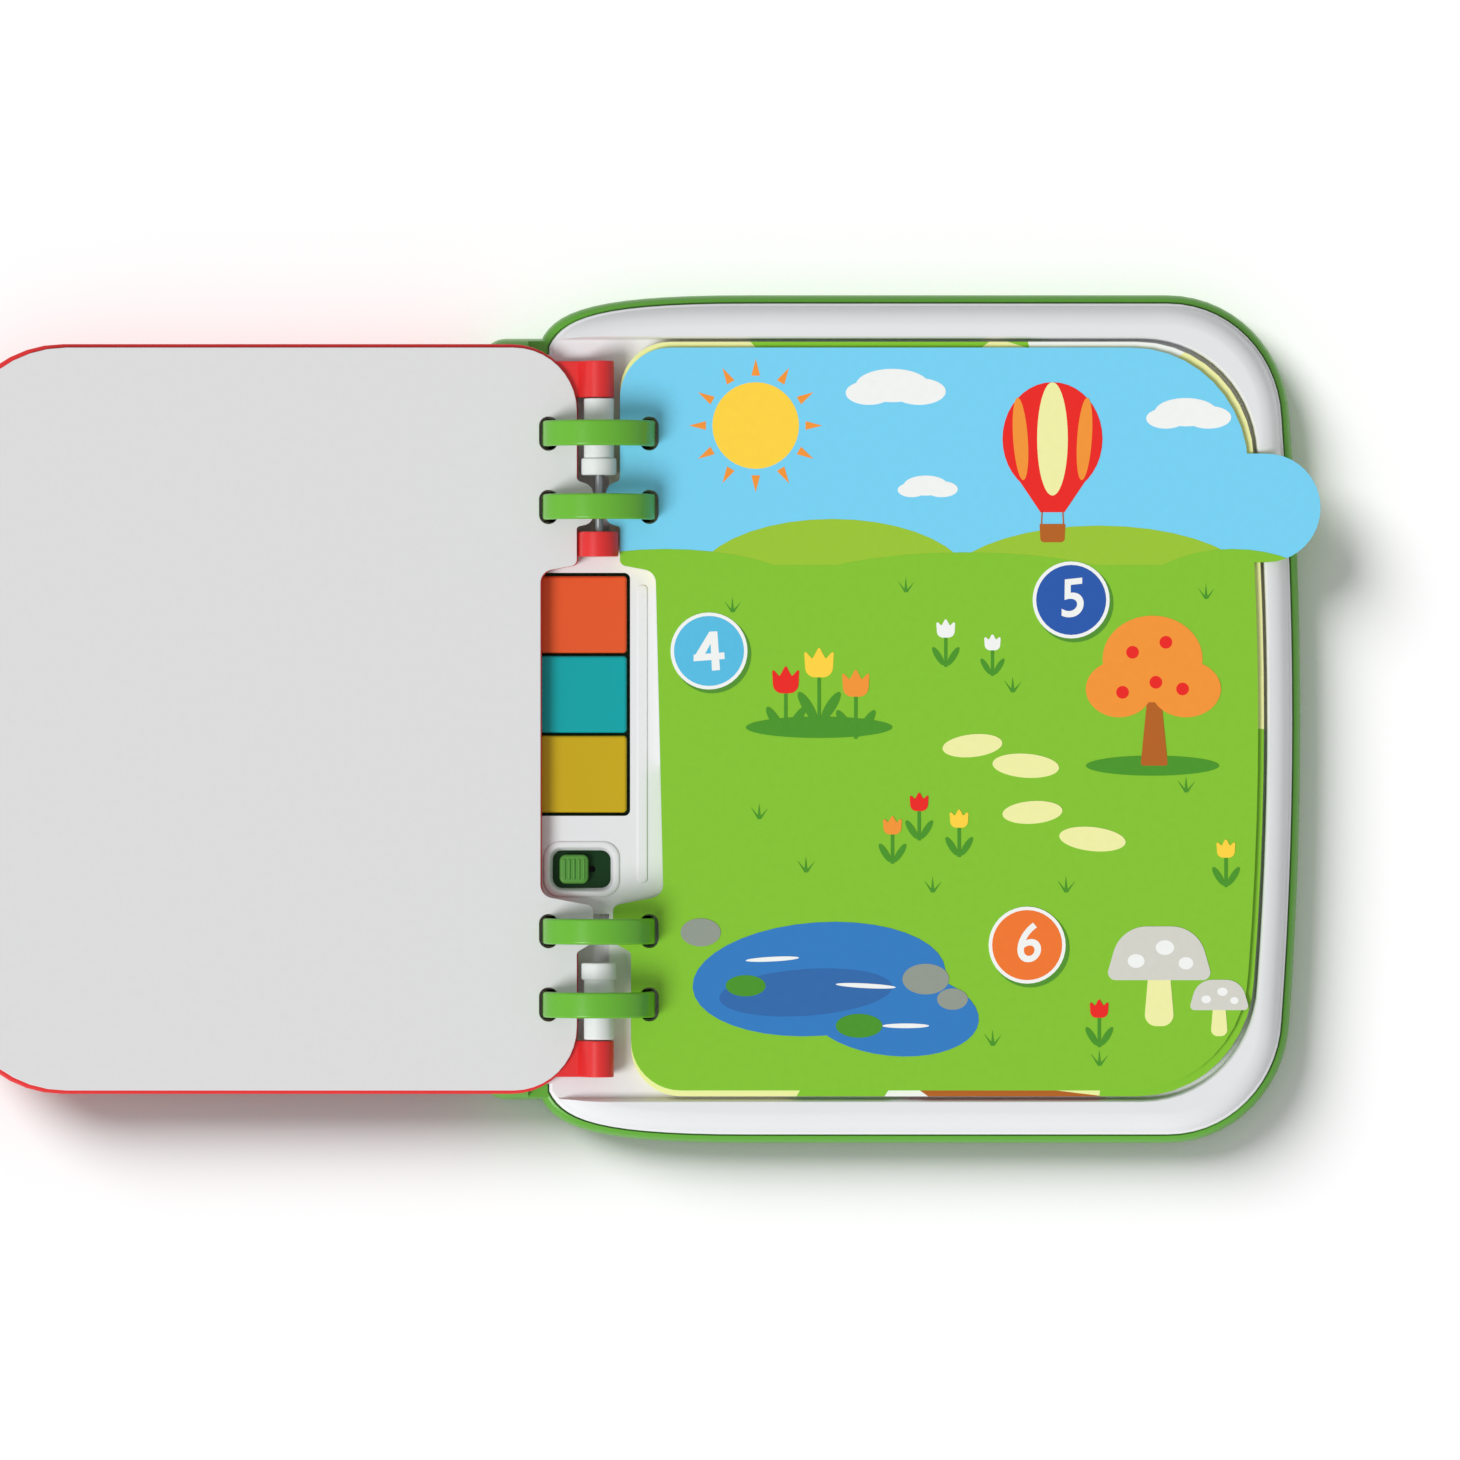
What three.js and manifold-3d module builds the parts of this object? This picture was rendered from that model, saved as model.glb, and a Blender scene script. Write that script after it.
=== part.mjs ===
// A toddler's sound book, lying open with one leaf turned onto its cover.
// Millimetres. +X runs from the spine across the pages, +Y up the spine, +Z up.
// The origin is on the underside, straight below the hinge axis.

import * as THREE from 'three';
import { mergeVertices } from 'three/addons/utils/BufferGeometryUtils.js';
import Module from 'manifold-3d';

const wasm = await Module();
wasm.setup();

// Clearances
const seatGap = 0.3;        // between pieces that rest on or in one another
const sideGap = 0.4;        // round a piece that slides or swings
const partingGap = 0.3;     // between the two halves of the housing

// Leaves
const leafThickness = 1.4;
const leafCount = 4;
const leafEnd = 4;              // leaf past the hinge's end knuckle
const leafRight = 197.7;
const leafCorner = 35;
const leafBulge = 3;
const lowerLeafGrow = 1.8;
const leafStagger = 0.35;       // every second lower leaf is this much smaller
const pageCorner = 15;          // spine-side corners of the lying leaves
const turnedCorner = 19;        // the same on the turned leaf
const tabRadius = 16.3;
const tabDrop = 48.1;           // from the leaf's upper end to the middle of its tab
const tabReach = 18.7;          // past the leaf's fore-edge
const holeHeight = 10.2;
const holeCorner = 2.8;
const holeInside = 2.2;         // hole past the ring, towards the spine
const holeOutside = 0.8;        // the same, away from it
const tongueTop = 3.1;          // these four lie below the middle of a ring pair
const tongueShoulder = 4.6;
const tongueFoot = 7.6;
const lowTongueFoot = 18.6;
const turnedEdge = { upper: 6.6, lower: 6.6, tongue: 1.7, lowerTongue: 1.7, bite: 17.5, biteFoot: 17.5 };
const pageEdge = { upper: 6.3, lower: 9.6, tongue: 2.1, lowerTongue: 4.2, bite: 17, biteFoot: 19.3 };

// Housing
const endRimWidth = 13.4;       // rim past the page pocket at the book's two ends
const sideRimWidth = 10.5;      // the same at the fore-edge
const bodyCorner = 37;
const bodyBulge = 3.3;
const shoulderStart = 45;       // where the straight top edge starts to fall towards the spine
const shoulderEndX = -17.8;
const shellHeight = 14.9;
const shellWall = 2.3;
const shellTuck = 5;            // how far the underside lies inside the widest line
const spineLeft = -36;
const spineMargin = 3.1;        // spine block past the leaf's ends
const spineCorner = 8;
const trayInset = 2.8;          // green that shows outside the white tray
const trayLeft = -21;
const rimLeft = -15.9;
const rimHeight = 4.1;          // shoulder of the rim above the page pocket
const floorZ = 17.8;
const floorThickness = 2;
const pocketGap = 1;            // round the largest leaf
const crownDepth = 7;           // width of the rim's falling outer slope
const crownWall = 2.2;

// Rings
const ringRadius = 17.1;
const ringThickness = 2.6;
const ringWidth = 8.2;
const ringEdge = 0.7;
const ringPairY = 74.6;         // middle of the upper ring pair
const ringPitch = 22;

// Hinge, with each length along the pin measured outwards from the middle of a ring pair
const barrelRadius = 4.5;
const collarRadius = 5.25;
const middleKnuckleRadius = 5.85;
const pinRadius = 1.25;
const knuckleSpan = { middle: [-25.9, -18.4], collar: [-1.5, 3.4], barrel: [3.4, 21.55], end: [21.85, 32.8] };
const pinStop = 1;              // blind end of a knuckle's bore
const wellRadius = 11;
const wellRight = 3;
const wellWall = 1.8;

// Front cover
const coverThickness = 3.5;
const coverMargin = 1.1;        // cover past the turned leaf
const coverCorner = 20;
const coverEdge = 0.7;
const coverArm = 14;            // where the knuckle arms leave the cover

// Key panel
const keyLength = 26.3;
const keyHeight = 23.1;
const keyGap = 0.85;            // dark gap between two keys
const keyRight = 8.3;
const keyTopY = 42.9;
const keyRise = 0.3;
const keyDepth = 3.6;
const panelMargin = 1;          // dark gap round the group of keys
const plungerRadius = 2.2;
const plungerDrop = 1.1;
const panelRib = { x: 13, width: 3.1, low: -49.3, high: 40.3, rise: 0.45 };

// Slide switch
const switchX = -7.55;
const switchY = -45.1;
const thumbSize = 8.7;
const thumbTravel = 5;
const thumbRise = 0.8;
const bezelRise = 0.6;
const bezelWidth = 1.7;
const plateThickness = 1.7;
const recessCorner = 3.1;
const stemWidth = 1.2;
const stemLength = 2;

// Electronics
const boardThickness = 1.6;
const boardTop = 8.9;
const board = { left: -17, right: 12, low: 21.6 - ringPairY, high: 44 };
const speakerX = 62;
const speakerY = -64;
const speakerRadius = 20;
const speakerHeight = 9.5;
const membraneThickness = 0.5;
const cellRadius = 5.25;
const cellLength = 44.5;
const cellPitch = 11.2;
const membraneMargin = 20;      // bare floor round the touch membrane
const bayX = 105;
const bayY = 0;
const bayWall = 1.3;
const contactThickness = 0.6;
const doorThickness = 1.8;
const screwInset = { spine: [30, 27.6], middle: [112, 23.6], foreEdge: [27, 41.6] };
const screwHeadRadius = 2.8;
const screwHeadHeight = 2;
const screwShankRadius = 1.2;
const bossRadius = 3.6;
const screwSeatZ = 6.2;
const screwWellRise = 2.6;

// Lengths that follow from the hinge and the leaves
const alongPin = ([low, high]) => [ringPairY + low, ringPairY + high];
const middleKnuckle = alongPin(knuckleSpan.middle);
const trayCollar = alongPin(knuckleSpan.collar);
const trayBarrel = alongPin(knuckleSpan.barrel);
const endKnuckle = alongPin(knuckleSpan.end);
const leafHalfHeight = endKnuckle[1] + leafEnd;
const pocketRight = leafRight + lowerLeafGrow + pocketGap;
const pocketHalfHeight = leafHalfHeight + lowerLeafGrow + pocketGap;
const bodyRight = pocketRight + sideRimWidth;
const bodyHalfHeight = pocketHalfHeight + endRimWidth;
const coverHalfHeight = leafHalfHeight + coverMargin;
const spineHalfHeight = leafHalfHeight + spineMargin;
const screwSpots = [
  [screwInset.spine[0], bodyHalfHeight - screwInset.spine[1]],
  [screwInset.middle[0], bodyHalfHeight - screwInset.middle[1]],
  [bodyRight - screwInset.foreEdge[0], bodyHalfHeight - screwInset.foreEdge[1]],
];

// Heights that follow from the stack of pieces
const pageTop = floorZ + seatGap + leafCount * leafThickness;
const axisZ = pageTop + seatGap;
const leafTop = axisZ - seatGap;
const leafBottom = leafTop - leafThickness;
const coverTop = leafBottom - seatGap;
const coverBottom = coverTop - coverThickness;
const spineTop = coverBottom - seatGap;
const floorBottom = floorZ - floorThickness;
const trayBottom = shellHeight + partingGap;
const rimTop = floorZ + rimHeight;
const cavityFloor = shellWall;
const keyTop = floorZ + keyRise;
const keyPitch = keyHeight + keyGap;
const ringRows = [
  ringPairY + ringPitch / 2,
  ringPairY - ringPitch / 2,
  ringPitch / 2 - ringPairY,
  -ringPairY - ringPitch / 2,
];

// Materials
function plastic(color, roughness) {
  return new THREE.MeshStandardMaterial({ color, roughness, metalness: 0 });
}

function metal(color, roughness) {
  return new THREE.MeshStandardMaterial({ color, roughness, metalness: 1 });
}

const material = {
  white: plastic(0xe4e5e6, 0.4),
  green: plastic(0x5fae33, 0.35),
  ring: plastic(0x68b636, 0.3),
  red: plastic(0xe02b2c, 0.4),
  board: plastic(0xdfdfdf, 0.65),
  print: plastic(0x82c42d, 0.55),
  orange: plastic(0xe25d2c, 0.4),
  teal: plastic(0x02a5a9, 0.4),
  yellow: plastic(0xc7a91f, 0.4),
  darkGreen: plastic(0x1f4d22, 0.45),
  rubber: plastic(0x2a2a2a, 0.8),
  circuit: plastic(0x2f6b3a, 0.5),
  black: plastic(0x1a1a1a, 0.5),
  film: plastic(0xc9b46a, 0.4),
  steel: metal(0xb9bcc0, 0.3),
  zinc: metal(0x8f9296, 0.4),
  cell: plastic(0x30343a, 0.4),
};

// Solids from geometry
function solid(geometry) {
  const bare = geometry.clone();
  bare.deleteAttribute('normal');
  bare.deleteAttribute('uv');
  const merged = mergeVertices(bare, 1e-4);
  const vertProperties = new Float32Array(merged.attributes.position.array);
  const triVerts = new Uint32Array(merged.index.array);
  return new wasm.Manifold(new wasm.Mesh({ numProp: 3, vertProperties, triVerts }));
}

function part(name, body, finish) {
  const { vertProperties, triVerts } = body.getMesh();
  const geometry = new THREE.BufferGeometry();
  geometry.setAttribute('position', new THREE.BufferAttribute(vertProperties, 3));
  geometry.setIndex(new THREE.BufferAttribute(triVerts, 1));
  geometry.computeVertexNormals();
  const mesh = new THREE.Mesh(geometry, finish);
  mesh.name = name;
  return mesh;
}

function joined(solids) {
  return solids.reduce((whole, next) => whole.add(next));
}

// Outlines
function point(x, y) {
  return new THREE.Vector2(x, y);
}

function mirrored(points) {
  return points.map((p) => point(-p.x, p.y)).reverse();
}

function filleted(corners) {
  // corners are [x, y, radius]; each is rounded to its radius
  const points = [];
  corners.forEach(([x, y, radius = 0], i) => {
    const here = point(x, y);
    if (radius === 0) {
      points.push(here);
      return;
    }
    const before = corners[(i + corners.length - 1) % corners.length];
    const after = corners[(i + 1) % corners.length];
    const inward = point(before[0], before[1]).sub(here).normalize();
    const outward = point(after[0], after[1]).sub(here).normalize();
    const half = Math.acos(THREE.MathUtils.clamp(inward.dot(outward), -1, 1)) / 2;
    const start = here.clone().addScaledVector(inward, radius / Math.tan(half));
    const end = here.clone().addScaledVector(outward, radius / Math.tan(half));
    const bisector = inward.clone().add(outward).normalize();
    const centre = here.clone().addScaledVector(bisector, radius / Math.sin(half));
    const turn = Math.PI - 2 * half;
    const steps = Math.max(1, Math.round(turn / arcStep(radius)));
    const cross = (start.x - centre.x) * (end.y - centre.y) - (start.y - centre.y) * (end.x - centre.x);
    const side = Math.sign(cross);
    for (let k = 0; k <= steps; k += 1) {
      points.push(start.clone().rotateAround(centre, side * turn * k / steps));
    }
  });
  return points;
}

function arcStep(radius) {
  if (radius > 10) {
    return 0.27;
  }
  if (radius > 3) {
    return 0.6;
  }
  return radius > 1 ? 0.8 : 1.6;
}

function rectangle(left, right, low, high, radius = 0) {
  return filleted([[left, low, radius], [right, low, radius], [right, high, radius], [left, high, radius]]);
}

function circle(x, y, radius, count) {
  return Array.from({ length: count }, (unused, i) => {
    const angle = 2 * Math.PI * i / count;
    return point(x + radius * Math.cos(angle), y + radius * Math.sin(angle));
  });
}

function foreEdge(right, halfHeight, corner, bulge) {
  // the fore-edge of a leaf, cover or housing, upwards: two round corners and a slightly bulged side
  const points = [];
  const reach = halfHeight - corner;
  const cornerX = right - bulge - corner;
  const cornerSteps = 5;
  const sideSteps = 4;
  for (let i = 0; i <= cornerSteps; i += 1) {
    const angle = (i / cornerSteps - 1) * Math.PI / 2;
    points.push(point(cornerX + corner * Math.cos(angle), corner * Math.sin(angle) - reach));
  }
  for (let i = 1; i < sideSteps; i += 1) {
    const along = 2 * i / sideSteps - 1;
    points.push(point(right - bulge * along * along, reach * along));
  }
  for (let i = 0; i <= cornerSteps; i += 1) {
    const angle = i / cornerSteps * Math.PI / 2;
    points.push(point(cornerX + corner * Math.cos(angle), corner * Math.sin(angle) + reach));
  }
  return points;
}

function inset(points, distance) {
  return points.map((here, i) => {
    const before = points[(i + points.length - 1) % points.length];
    const after = points[(i + 1) % points.length];
    const a = here.clone().sub(before).normalize();
    const b = after.clone().sub(here).normalize();
    const normal = point(-a.y - b.y, a.x + b.x).normalize();
    const spread = Math.max(0.4, normal.dot(point(-a.y, a.x)));
    return here.clone().addScaledVector(normal, distance / spread);
  });
}

// Forms
function prism(points, low, high, holes = []) {
  const shape = new THREE.Shape(points);
  shape.holes = holes.map((hole) => new THREE.Path(hole));
  const geometry = new THREE.ExtrudeGeometry(shape, { depth: high - low, bevelEnabled: false });
  geometry.translate(0, 0, low);
  return solid(geometry);
}

function plate(points, low, high, edge, holes = []) {
  // a prism whose top and bottom edges are rounded by edge
  const shape = new THREE.Shape(points);
  shape.holes = holes.map((hole) => new THREE.Path(hole));
  const geometry = new THREE.ExtrudeGeometry(shape, {
    depth: high - low - 2 * edge,
    bevelThickness: edge,
    bevelSize: edge,
    bevelOffset: -edge,
    bevelSegments: 1,
  });
  geometry.translate(0, 0, low + edge);
  return solid(geometry);
}

function loft(levels) {
  // levels are [z, points] from the bottom up, all with as many points
  const count = levels[0][1].length;
  const position = levels.flatMap(([z, points]) => points.flatMap((p) => [p.x, p.y, z]));
  const index = [];
  for (let level = 0; level + 1 < levels.length; level += 1) {
    for (let i = 0; i < count; i += 1) {
      const next = (i + 1) % count;
      const a = level * count + i;
      const b = level * count + next;
      index.push(a, b, b + count, a, b + count, a + count);
    }
  }
  const top = (levels.length - 1) * count;
  for (const [a, b, c] of THREE.ShapeUtils.triangulateShape(levels[0][1], [])) {
    index.push(c, b, a);
  }
  for (const [a, b, c] of THREE.ShapeUtils.triangulateShape(levels[levels.length - 1][1], [])) {
    index.push(top + a, top + b, top + c);
  }
  const geometry = new THREE.BufferGeometry();
  geometry.setAttribute('position', new THREE.Float32BufferAttribute(position, 3));
  geometry.setIndex(index);
  return solid(geometry);
}

function sloped(outline, low, high, depth, profile) {
  // profile gives the side: a share of the height, then a share of depth by which it is inset
  return loft(profile.map(([rise, share]) => [low + rise * (high - low), inset(outline, share * depth)]));
}

function section(points, low, high) {
  // a profile in X and Z, drawn out along Y from low to high
  const shape = new THREE.Shape(points);
  const geometry = new THREE.ExtrudeGeometry(shape, { depth: high - low, bevelEnabled: false });
  geometry.rotateX(Math.PI / 2);
  geometry.translate(0, high, 0);
  return solid(geometry);
}

function shaft(radius, low, high, sides = 14) {
  // a round bar on the hinge axis
  const geometry = new THREE.CylinderGeometry(radius, radius, high - low, sides);
  geometry.translate(0, (high + low) / 2, axisZ);
  return solid(geometry);
}

function turned(profile, x, y, sides) {
  // profile is [radius, z], from the axis at the bottom to the axis at the top
  const geometry = new THREE.LatheGeometry(profile.map(([r, z]) => point(r, z)), sides);
  geometry.rotateX(Math.PI / 2);
  geometry.translate(x, y, 0);
  return solid(geometry);
}

function post(x, y, radius, low, high, sides = 8) {
  return turned([[0, low], [radius, low], [radius, high], [0, high]], x, y, sides);
}

function block(left, right, low, high, bottom, top) {
  const geometry = new THREE.BoxGeometry(right - left, high - low, top - bottom);
  geometry.translate((left + right) / 2, (low + high) / 2, (bottom + top) / 2);
  return solid(geometry);
}

// Rings
function hoop(y, outer, inner, width, edge, sides) {
  const shape = new THREE.Shape(circle(0, 0, outer, sides));
  shape.holes = [new THREE.Path(circle(0, 0, inner, sides))];
  const geometry = new THREE.ExtrudeGeometry(shape, {
    depth: width - 2 * edge,
    bevelEnabled: edge > 0,
    bevelThickness: edge,
    bevelSize: edge,
    bevelOffset: -edge,
    bevelSegments: 1,
  });
  geometry.rotateX(Math.PI / 2);
  geometry.translate(0, y + width / 2 - edge, axisZ);
  return solid(geometry);
}

const ringSides = 22;

function ring(y) {
  return hoop(y, ringRadius, ringRadius - ringThickness, ringWidth, ringEdge, ringSides);
}

function ringRoom(y) {
  // the space that a ring needs in the mouldings that it passes through
  const inner = ringRadius - ringThickness - sideGap;
  return hoop(y, ringRadius + sideGap, inner, ringWidth + 2 * sideGap, 0, ringSides);
}

function ringHoles(side, grow) {
  // rounded holes for the rings in a leaf or the cover, on one side of the spine
  const inner = ringRadius - ringThickness - holeInside - grow;
  const outer = ringRadius + holeOutside + grow;
  return ringRows.map((y) => {
    const half = holeHeight / 2 + grow;
    const hole = rectangle(inner, outer, y - half, y + half, holeCorner);
    return side > 0 ? hole : mirrored(hole);
  });
}

// Leaves
function leafOutline(edge, grow, corner) {
  // a leaf on the +X side: its fore-edge, then down the spine round the key panel and the ring tongues
  const half = leafHalfHeight + grow;
  const outer = foreEdge(leafRight + grow, half, leafCorner, leafBulge).map((p) => [p.x, p.y]);
  return filleted([
    ...outer,
    [edge.upper, half, corner],
    [edge.upper, ringPairY - tongueTop, 1.5],
    [edge.tongue, ringPairY - tongueShoulder, 3.5],
    [edge.tongue, middleKnuckle[1] + 2.6, 3],
    [edge.upper, middleKnuckle[1] + 1.4, 1],
    [edge.upper, middleKnuckle[0] - 2.5, 2.5],
    [edge.bite, keyTopY + panelMargin + seatGap, 4],
    [edge.biteFoot, lowTongueFoot - ringPairY + 3, 4],
    [edge.lowerTongue, lowTongueFoot - ringPairY, 2],
    [edge.lowerTongue, tongueFoot - ringPairY, 3.5],
    [edge.lower, tongueShoulder - ringPairY, 1.5],
    [edge.lower, -half, corner],
  ]);
}

function turnedLeaf() {
  const outline = mirrored(leafOutline(turnedEdge, 0, turnedCorner));
  return prism(outline, leafBottom, leafTop, ringHoles(-1, 0));
}

function pageBlock() {
  const holes = ringHoles(1, 0);
  const tabX = leafRight + tabReach - tabRadius;
  const tabY = leafHalfHeight - tabDrop;
  const tab = joined([
    prism(circle(tabX, tabY, tabRadius, 28), leafBottom, leafTop),
    block(tabX - 2 * tabRadius, tabX, tabY - tabRadius, tabY + tabRadius, leafBottom, leafTop),
  ]);
  const leaves = [prism(leafOutline(pageEdge, 0, pageCorner), leafBottom, leafTop, holes), tab];
  for (let i = 1; i < leafCount; i += 1) {
    const grow = lowerLeafGrow - (i % 2 === 0 ? leafStagger : 0);
    const high = leafTop - i * leafThickness;
    leaves.push(prism(leafOutline(pageEdge, grow, pageCorner), high - leafThickness, high, holes));
  }
  return joined(leaves);
}

// Front cover
function knuckleProfile(radius) {
  // the cover's arm and barrel, in X and Z
  const points = [point(-coverArm, coverBottom), point(-1.2, axisZ - radius)];
  const from = THREE.MathUtils.degToRad(-85);
  const to = THREE.MathUtils.degToRad(155);
  const steps = 9;
  for (let i = 0; i <= steps; i += 1) {
    const angle = from + (to - from) * i / steps;
    points.push(point(radius * Math.cos(angle), axisZ + radius * Math.sin(angle)));
  }
  points.push(point(seatGap - turnedEdge.upper, coverTop), point(-coverArm, coverTop));
  return points;
}

function frontCover() {
  const grow = coverHalfHeight - leafHalfHeight;
  const edge = { ...turnedEdge };
  for (const key of Object.keys(edge)) {
    edge[key] -= 0.35;
  }
  edge.tongue = turnedEdge.upper;
  edge.lowerTongue = turnedEdge.upper;
  const outline = mirrored(leafOutline(edge, grow, coverCorner));
  const sheet = plate(outline, coverBottom, coverTop, coverEdge, ringHoles(-1, seatGap));
  const knuckles = [
    section(knuckleProfile(barrelRadius), ...endKnuckle),
    section(knuckleProfile(middleKnuckleRadius), ...middleKnuckle),
    section(knuckleProfile(barrelRadius), -endKnuckle[1], -endKnuckle[0]),
  ];
  return joined([sheet, ...knuckles])
    .subtract(shaft(pinRadius + seatGap, middleKnuckle[0] + pinStop, endKnuckle[1] - pinStop, 12))
    .subtract(shaft(pinRadius + seatGap, pinStop - endKnuckle[1], 0, 12));
}

// Housing outlines
function bodyOutline() {
  const right = foreEdge(bodyRight, bodyHalfHeight, bodyCorner, bodyBulge);
  const shoulderEndY = spineHalfHeight - 1;
  const shoulder = new THREE.CubicBezierCurve(
    point(shoulderStart, bodyHalfHeight),
    point(0, bodyHalfHeight),
    point(shoulderEndX + 4.3, bodyHalfHeight - 4.1),
    point(shoulderEndX, shoulderEndY),
  ).getPoints(5);
  const foot = shoulder.map((p) => point(p.x, -p.y)).reverse();
  return [...right, ...shoulder, ...foot];
}

function spineOutline() {
  return filleted([
    [spineLeft, -spineHalfHeight, spineCorner],
    [0, -spineHalfHeight],
    [0, spineHalfHeight],
    [spineLeft, spineHalfHeight, spineCorner],
  ]);
}

function pocketOutline(grow) {
  const half = pocketHalfHeight + grow;
  const left = spineLeft - 10;
  const outer = foreEdge(pocketRight + grow, half, leafCorner, leafBulge);
  return [...outer, point(left, half), point(left, -half)];
}

// Green lower housing
const shellProfile = [[0, 1], [0.06, 0.64], [0.23, 0.24], [0.54, 0], [0.86, 0.1], [1, 0.44]];
const spineProfile = [[0, 1], [0.05, 0.64], [0.19, 0.24], [0.44, 0], [0.75, 0.1], [0.91, 0.4], [1, 0.88]];
const roomProfile = [[0, 1], [0.42, 0], [0.7, 0.04], [1, 0.44]];

function baseShell() {
  const outline = bodyOutline();
  const spine = spineOutline();
  const skin = sloped(outline, 0, shellHeight, shellTuck, shellProfile);
  const spineSkin = sloped(spine, 0, spineTop, shellTuck, spineProfile);
  const room = sloped(inset(outline, shellWall), cavityFloor, shellHeight + 1, shellTuck, roomProfile);
  const spineRoof = spineTop - shellWall;
  const spineRoom = sloped(inset(spine, shellWall), cavityFloor, spineRoof, shellTuck, roomProfile);
  const seatEnd = spineHalfHeight + shellTuck;
  const seatRight = shoulderStart + bodyCorner;
  const traySeat = block(trayLeft - seatGap, seatRight, -seatEnd, seatEnd, shellHeight, spineTop + 1);
  const shell = skin.add(spineSkin.subtract(traySeat)).subtract(room).subtract(spineRoom);
  const inside = joined([...ringCradles(), ...screwWells(), ...boardPosts(), batteryBox(), speakerFence()]);
  return joined([shell, inside])
    .subtract(joined(screwBores()))
    .subtract(joined(speakerSlots()))
    .subtract(batteryRoom());
}

function ringCradles() {
  const cheek = 1.4;
  const reach = 11;
  const cradleTop = 10;
  return ringRows.map((y) => {
    const half = ringWidth / 2 + sideGap + cheek;
    return block(-reach, reach, y - half, y + half, cavityFloor - 1, cradleTop).subtract(ringRoom(y));
  });
}

function screwPlaces() {
  return screwSpots.flatMap(([x, y]) => [[x, y], [x, -y]]);
}

function screwWells() {
  const wellTop = screwSeatZ + screwWellRise;
  return screwPlaces().map(([x, y]) => post(x, y, screwHeadRadius + 2, cavityFloor - 1, wellTop));
}

function screwBores() {
  return screwPlaces().flatMap(([x, y]) => [
    post(x, y, screwHeadRadius + sideGap, -1, screwSeatZ),
    post(x, y, screwShankRadius + sideGap, -1, screwSeatZ + 5),
  ]);
}

function boardPosts() {
  const margin = 4;
  const under = boardTop - boardThickness - seatGap;
  const xs = [board.left + margin, board.right - margin];
  const ys = [board.low + margin, board.high - margin];
  return xs.flatMap((x) => ys.map((y) => post(x, y, 2.5, cavityFloor - 1, under)));
}

function speakerFence() {
  const outer = circle(speakerX, speakerY, speakerRadius + seatGap + 1.6, 18);
  const inner = circle(speakerX, speakerY, speakerRadius + seatGap + 0.3, 18);
  return prism(outer, cavityFloor - 0.5, cavityFloor + 3.5, [inner]);
}

function speakerSlots() {
  const slotWidth = 2;
  const reach = speakerRadius - 5;
  const slotPitch = reach / 3.4;
  const slots = [];
  for (let i = -3; i <= 3; i += 1) {
    const x = speakerX + i * slotPitch;
    const half = Math.sqrt(reach * reach - (i * slotPitch) ** 2);
    const slot = rectangle(x - slotWidth / 2, x + slotWidth / 2, speakerY - half, speakerY + half, 0.6);
    slots.push(prism(slot, -1, cavityFloor + 1));
  }
  return slots;
}

// Battery bay
const baySize = {
  x: cellLength / 2 + contactThickness + 3 * seatGap,
  y: cellPitch + cellRadius + seatGap,
};
const doorTop = 0.3 + doorThickness;
const cellZ = doorTop + seatGap + cellRadius;
const bayRoof = cellZ + cellRadius + seatGap;
const doorTab = 9;
const doorScrewX = bayX + baySize.x + doorTab / 2 + 1;
const doorBossTop = 9;
const doorHeadWeb = 0.8;        // left of the door under the screw's head

function batteryBox() {
  return block(
    bayX - baySize.x - bayWall,
    bayX + baySize.x + bayWall,
    bayY - baySize.y - bayWall,
    bayY + baySize.y + bayWall,
    0,
    bayRoof + bayWall,
  )
    .add(post(doorScrewX, bayY, bossRadius, 1, doorBossTop))
    .add(block(bayX + baySize.x + bayWall / 2, doorScrewX, bayY - 2, bayY + 2, doorTop, doorBossTop));
}

function batteryRoom() {
  const tabRoom = block(
    bayX + baySize.x - 1,
    bayX + baySize.x + doorTab + seatGap,
    bayY - doorTab / 2 - seatGap,
    bayY + doorTab / 2 + seatGap,
    -1,
    doorTop + seatGap,
  );
  const cells = block(bayX - baySize.x, bayX + baySize.x, bayY - baySize.y, bayY + baySize.y, -1, bayRoof);
  return joined([cells, tabRoom, post(doorScrewX, bayY, screwShankRadius + 0.1, -1, doorBossTop - 1)]);
}

function batteryDoor() {
  const reachX = baySize.x - seatGap;
  const reachY = baySize.y - seatGap;
  const outline = rectangle(bayX - reachX, bayX + reachX, bayY - reachY, bayY + reachY, 1.5);
  const lid = plate(outline, doorTop - doorThickness, doorTop, 0.3);
  const tab = block(
    bayX + baySize.x - 2,
    bayX + baySize.x + doorTab,
    bayY - doorTab / 2,
    bayY + doorTab / 2,
    doorTop - doorThickness,
    doorTop,
  );
  return lid.add(tab)
    .subtract(post(doorScrewX, bayY, screwHeadRadius + seatGap, -1, doorTop - doorHeadWeb))
    .subtract(post(doorScrewX, bayY, screwShankRadius + sideGap, -1, doorTop + 1));
}

function screw(x, y, headBottom, headHeight, tip) {
  return turned([
    [0, headBottom],
    [screwHeadRadius - 0.6, headBottom],
    [screwHeadRadius, headBottom + 0.4],
    [screwHeadRadius, headBottom + headHeight],
    [screwShankRadius, headBottom + headHeight],
    [screwShankRadius, tip - 1.5],
    [0, tip],
  ], x, y, 8);
}

function batteryDoorScrew() {
  const headBottom = 0.15;
  const seat = doorTop - doorHeadWeb - 0.05;
  return screw(doorScrewX, bayY, headBottom, seat - headBottom, doorBossTop - 1.4);
}

function housingScrew(x, y) {
  const headBottom = screwSeatZ - screwHeadHeight - seatGap;
  return screw(x, y, headBottom, screwHeadHeight, floorBottom - 1.2);
}

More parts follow.
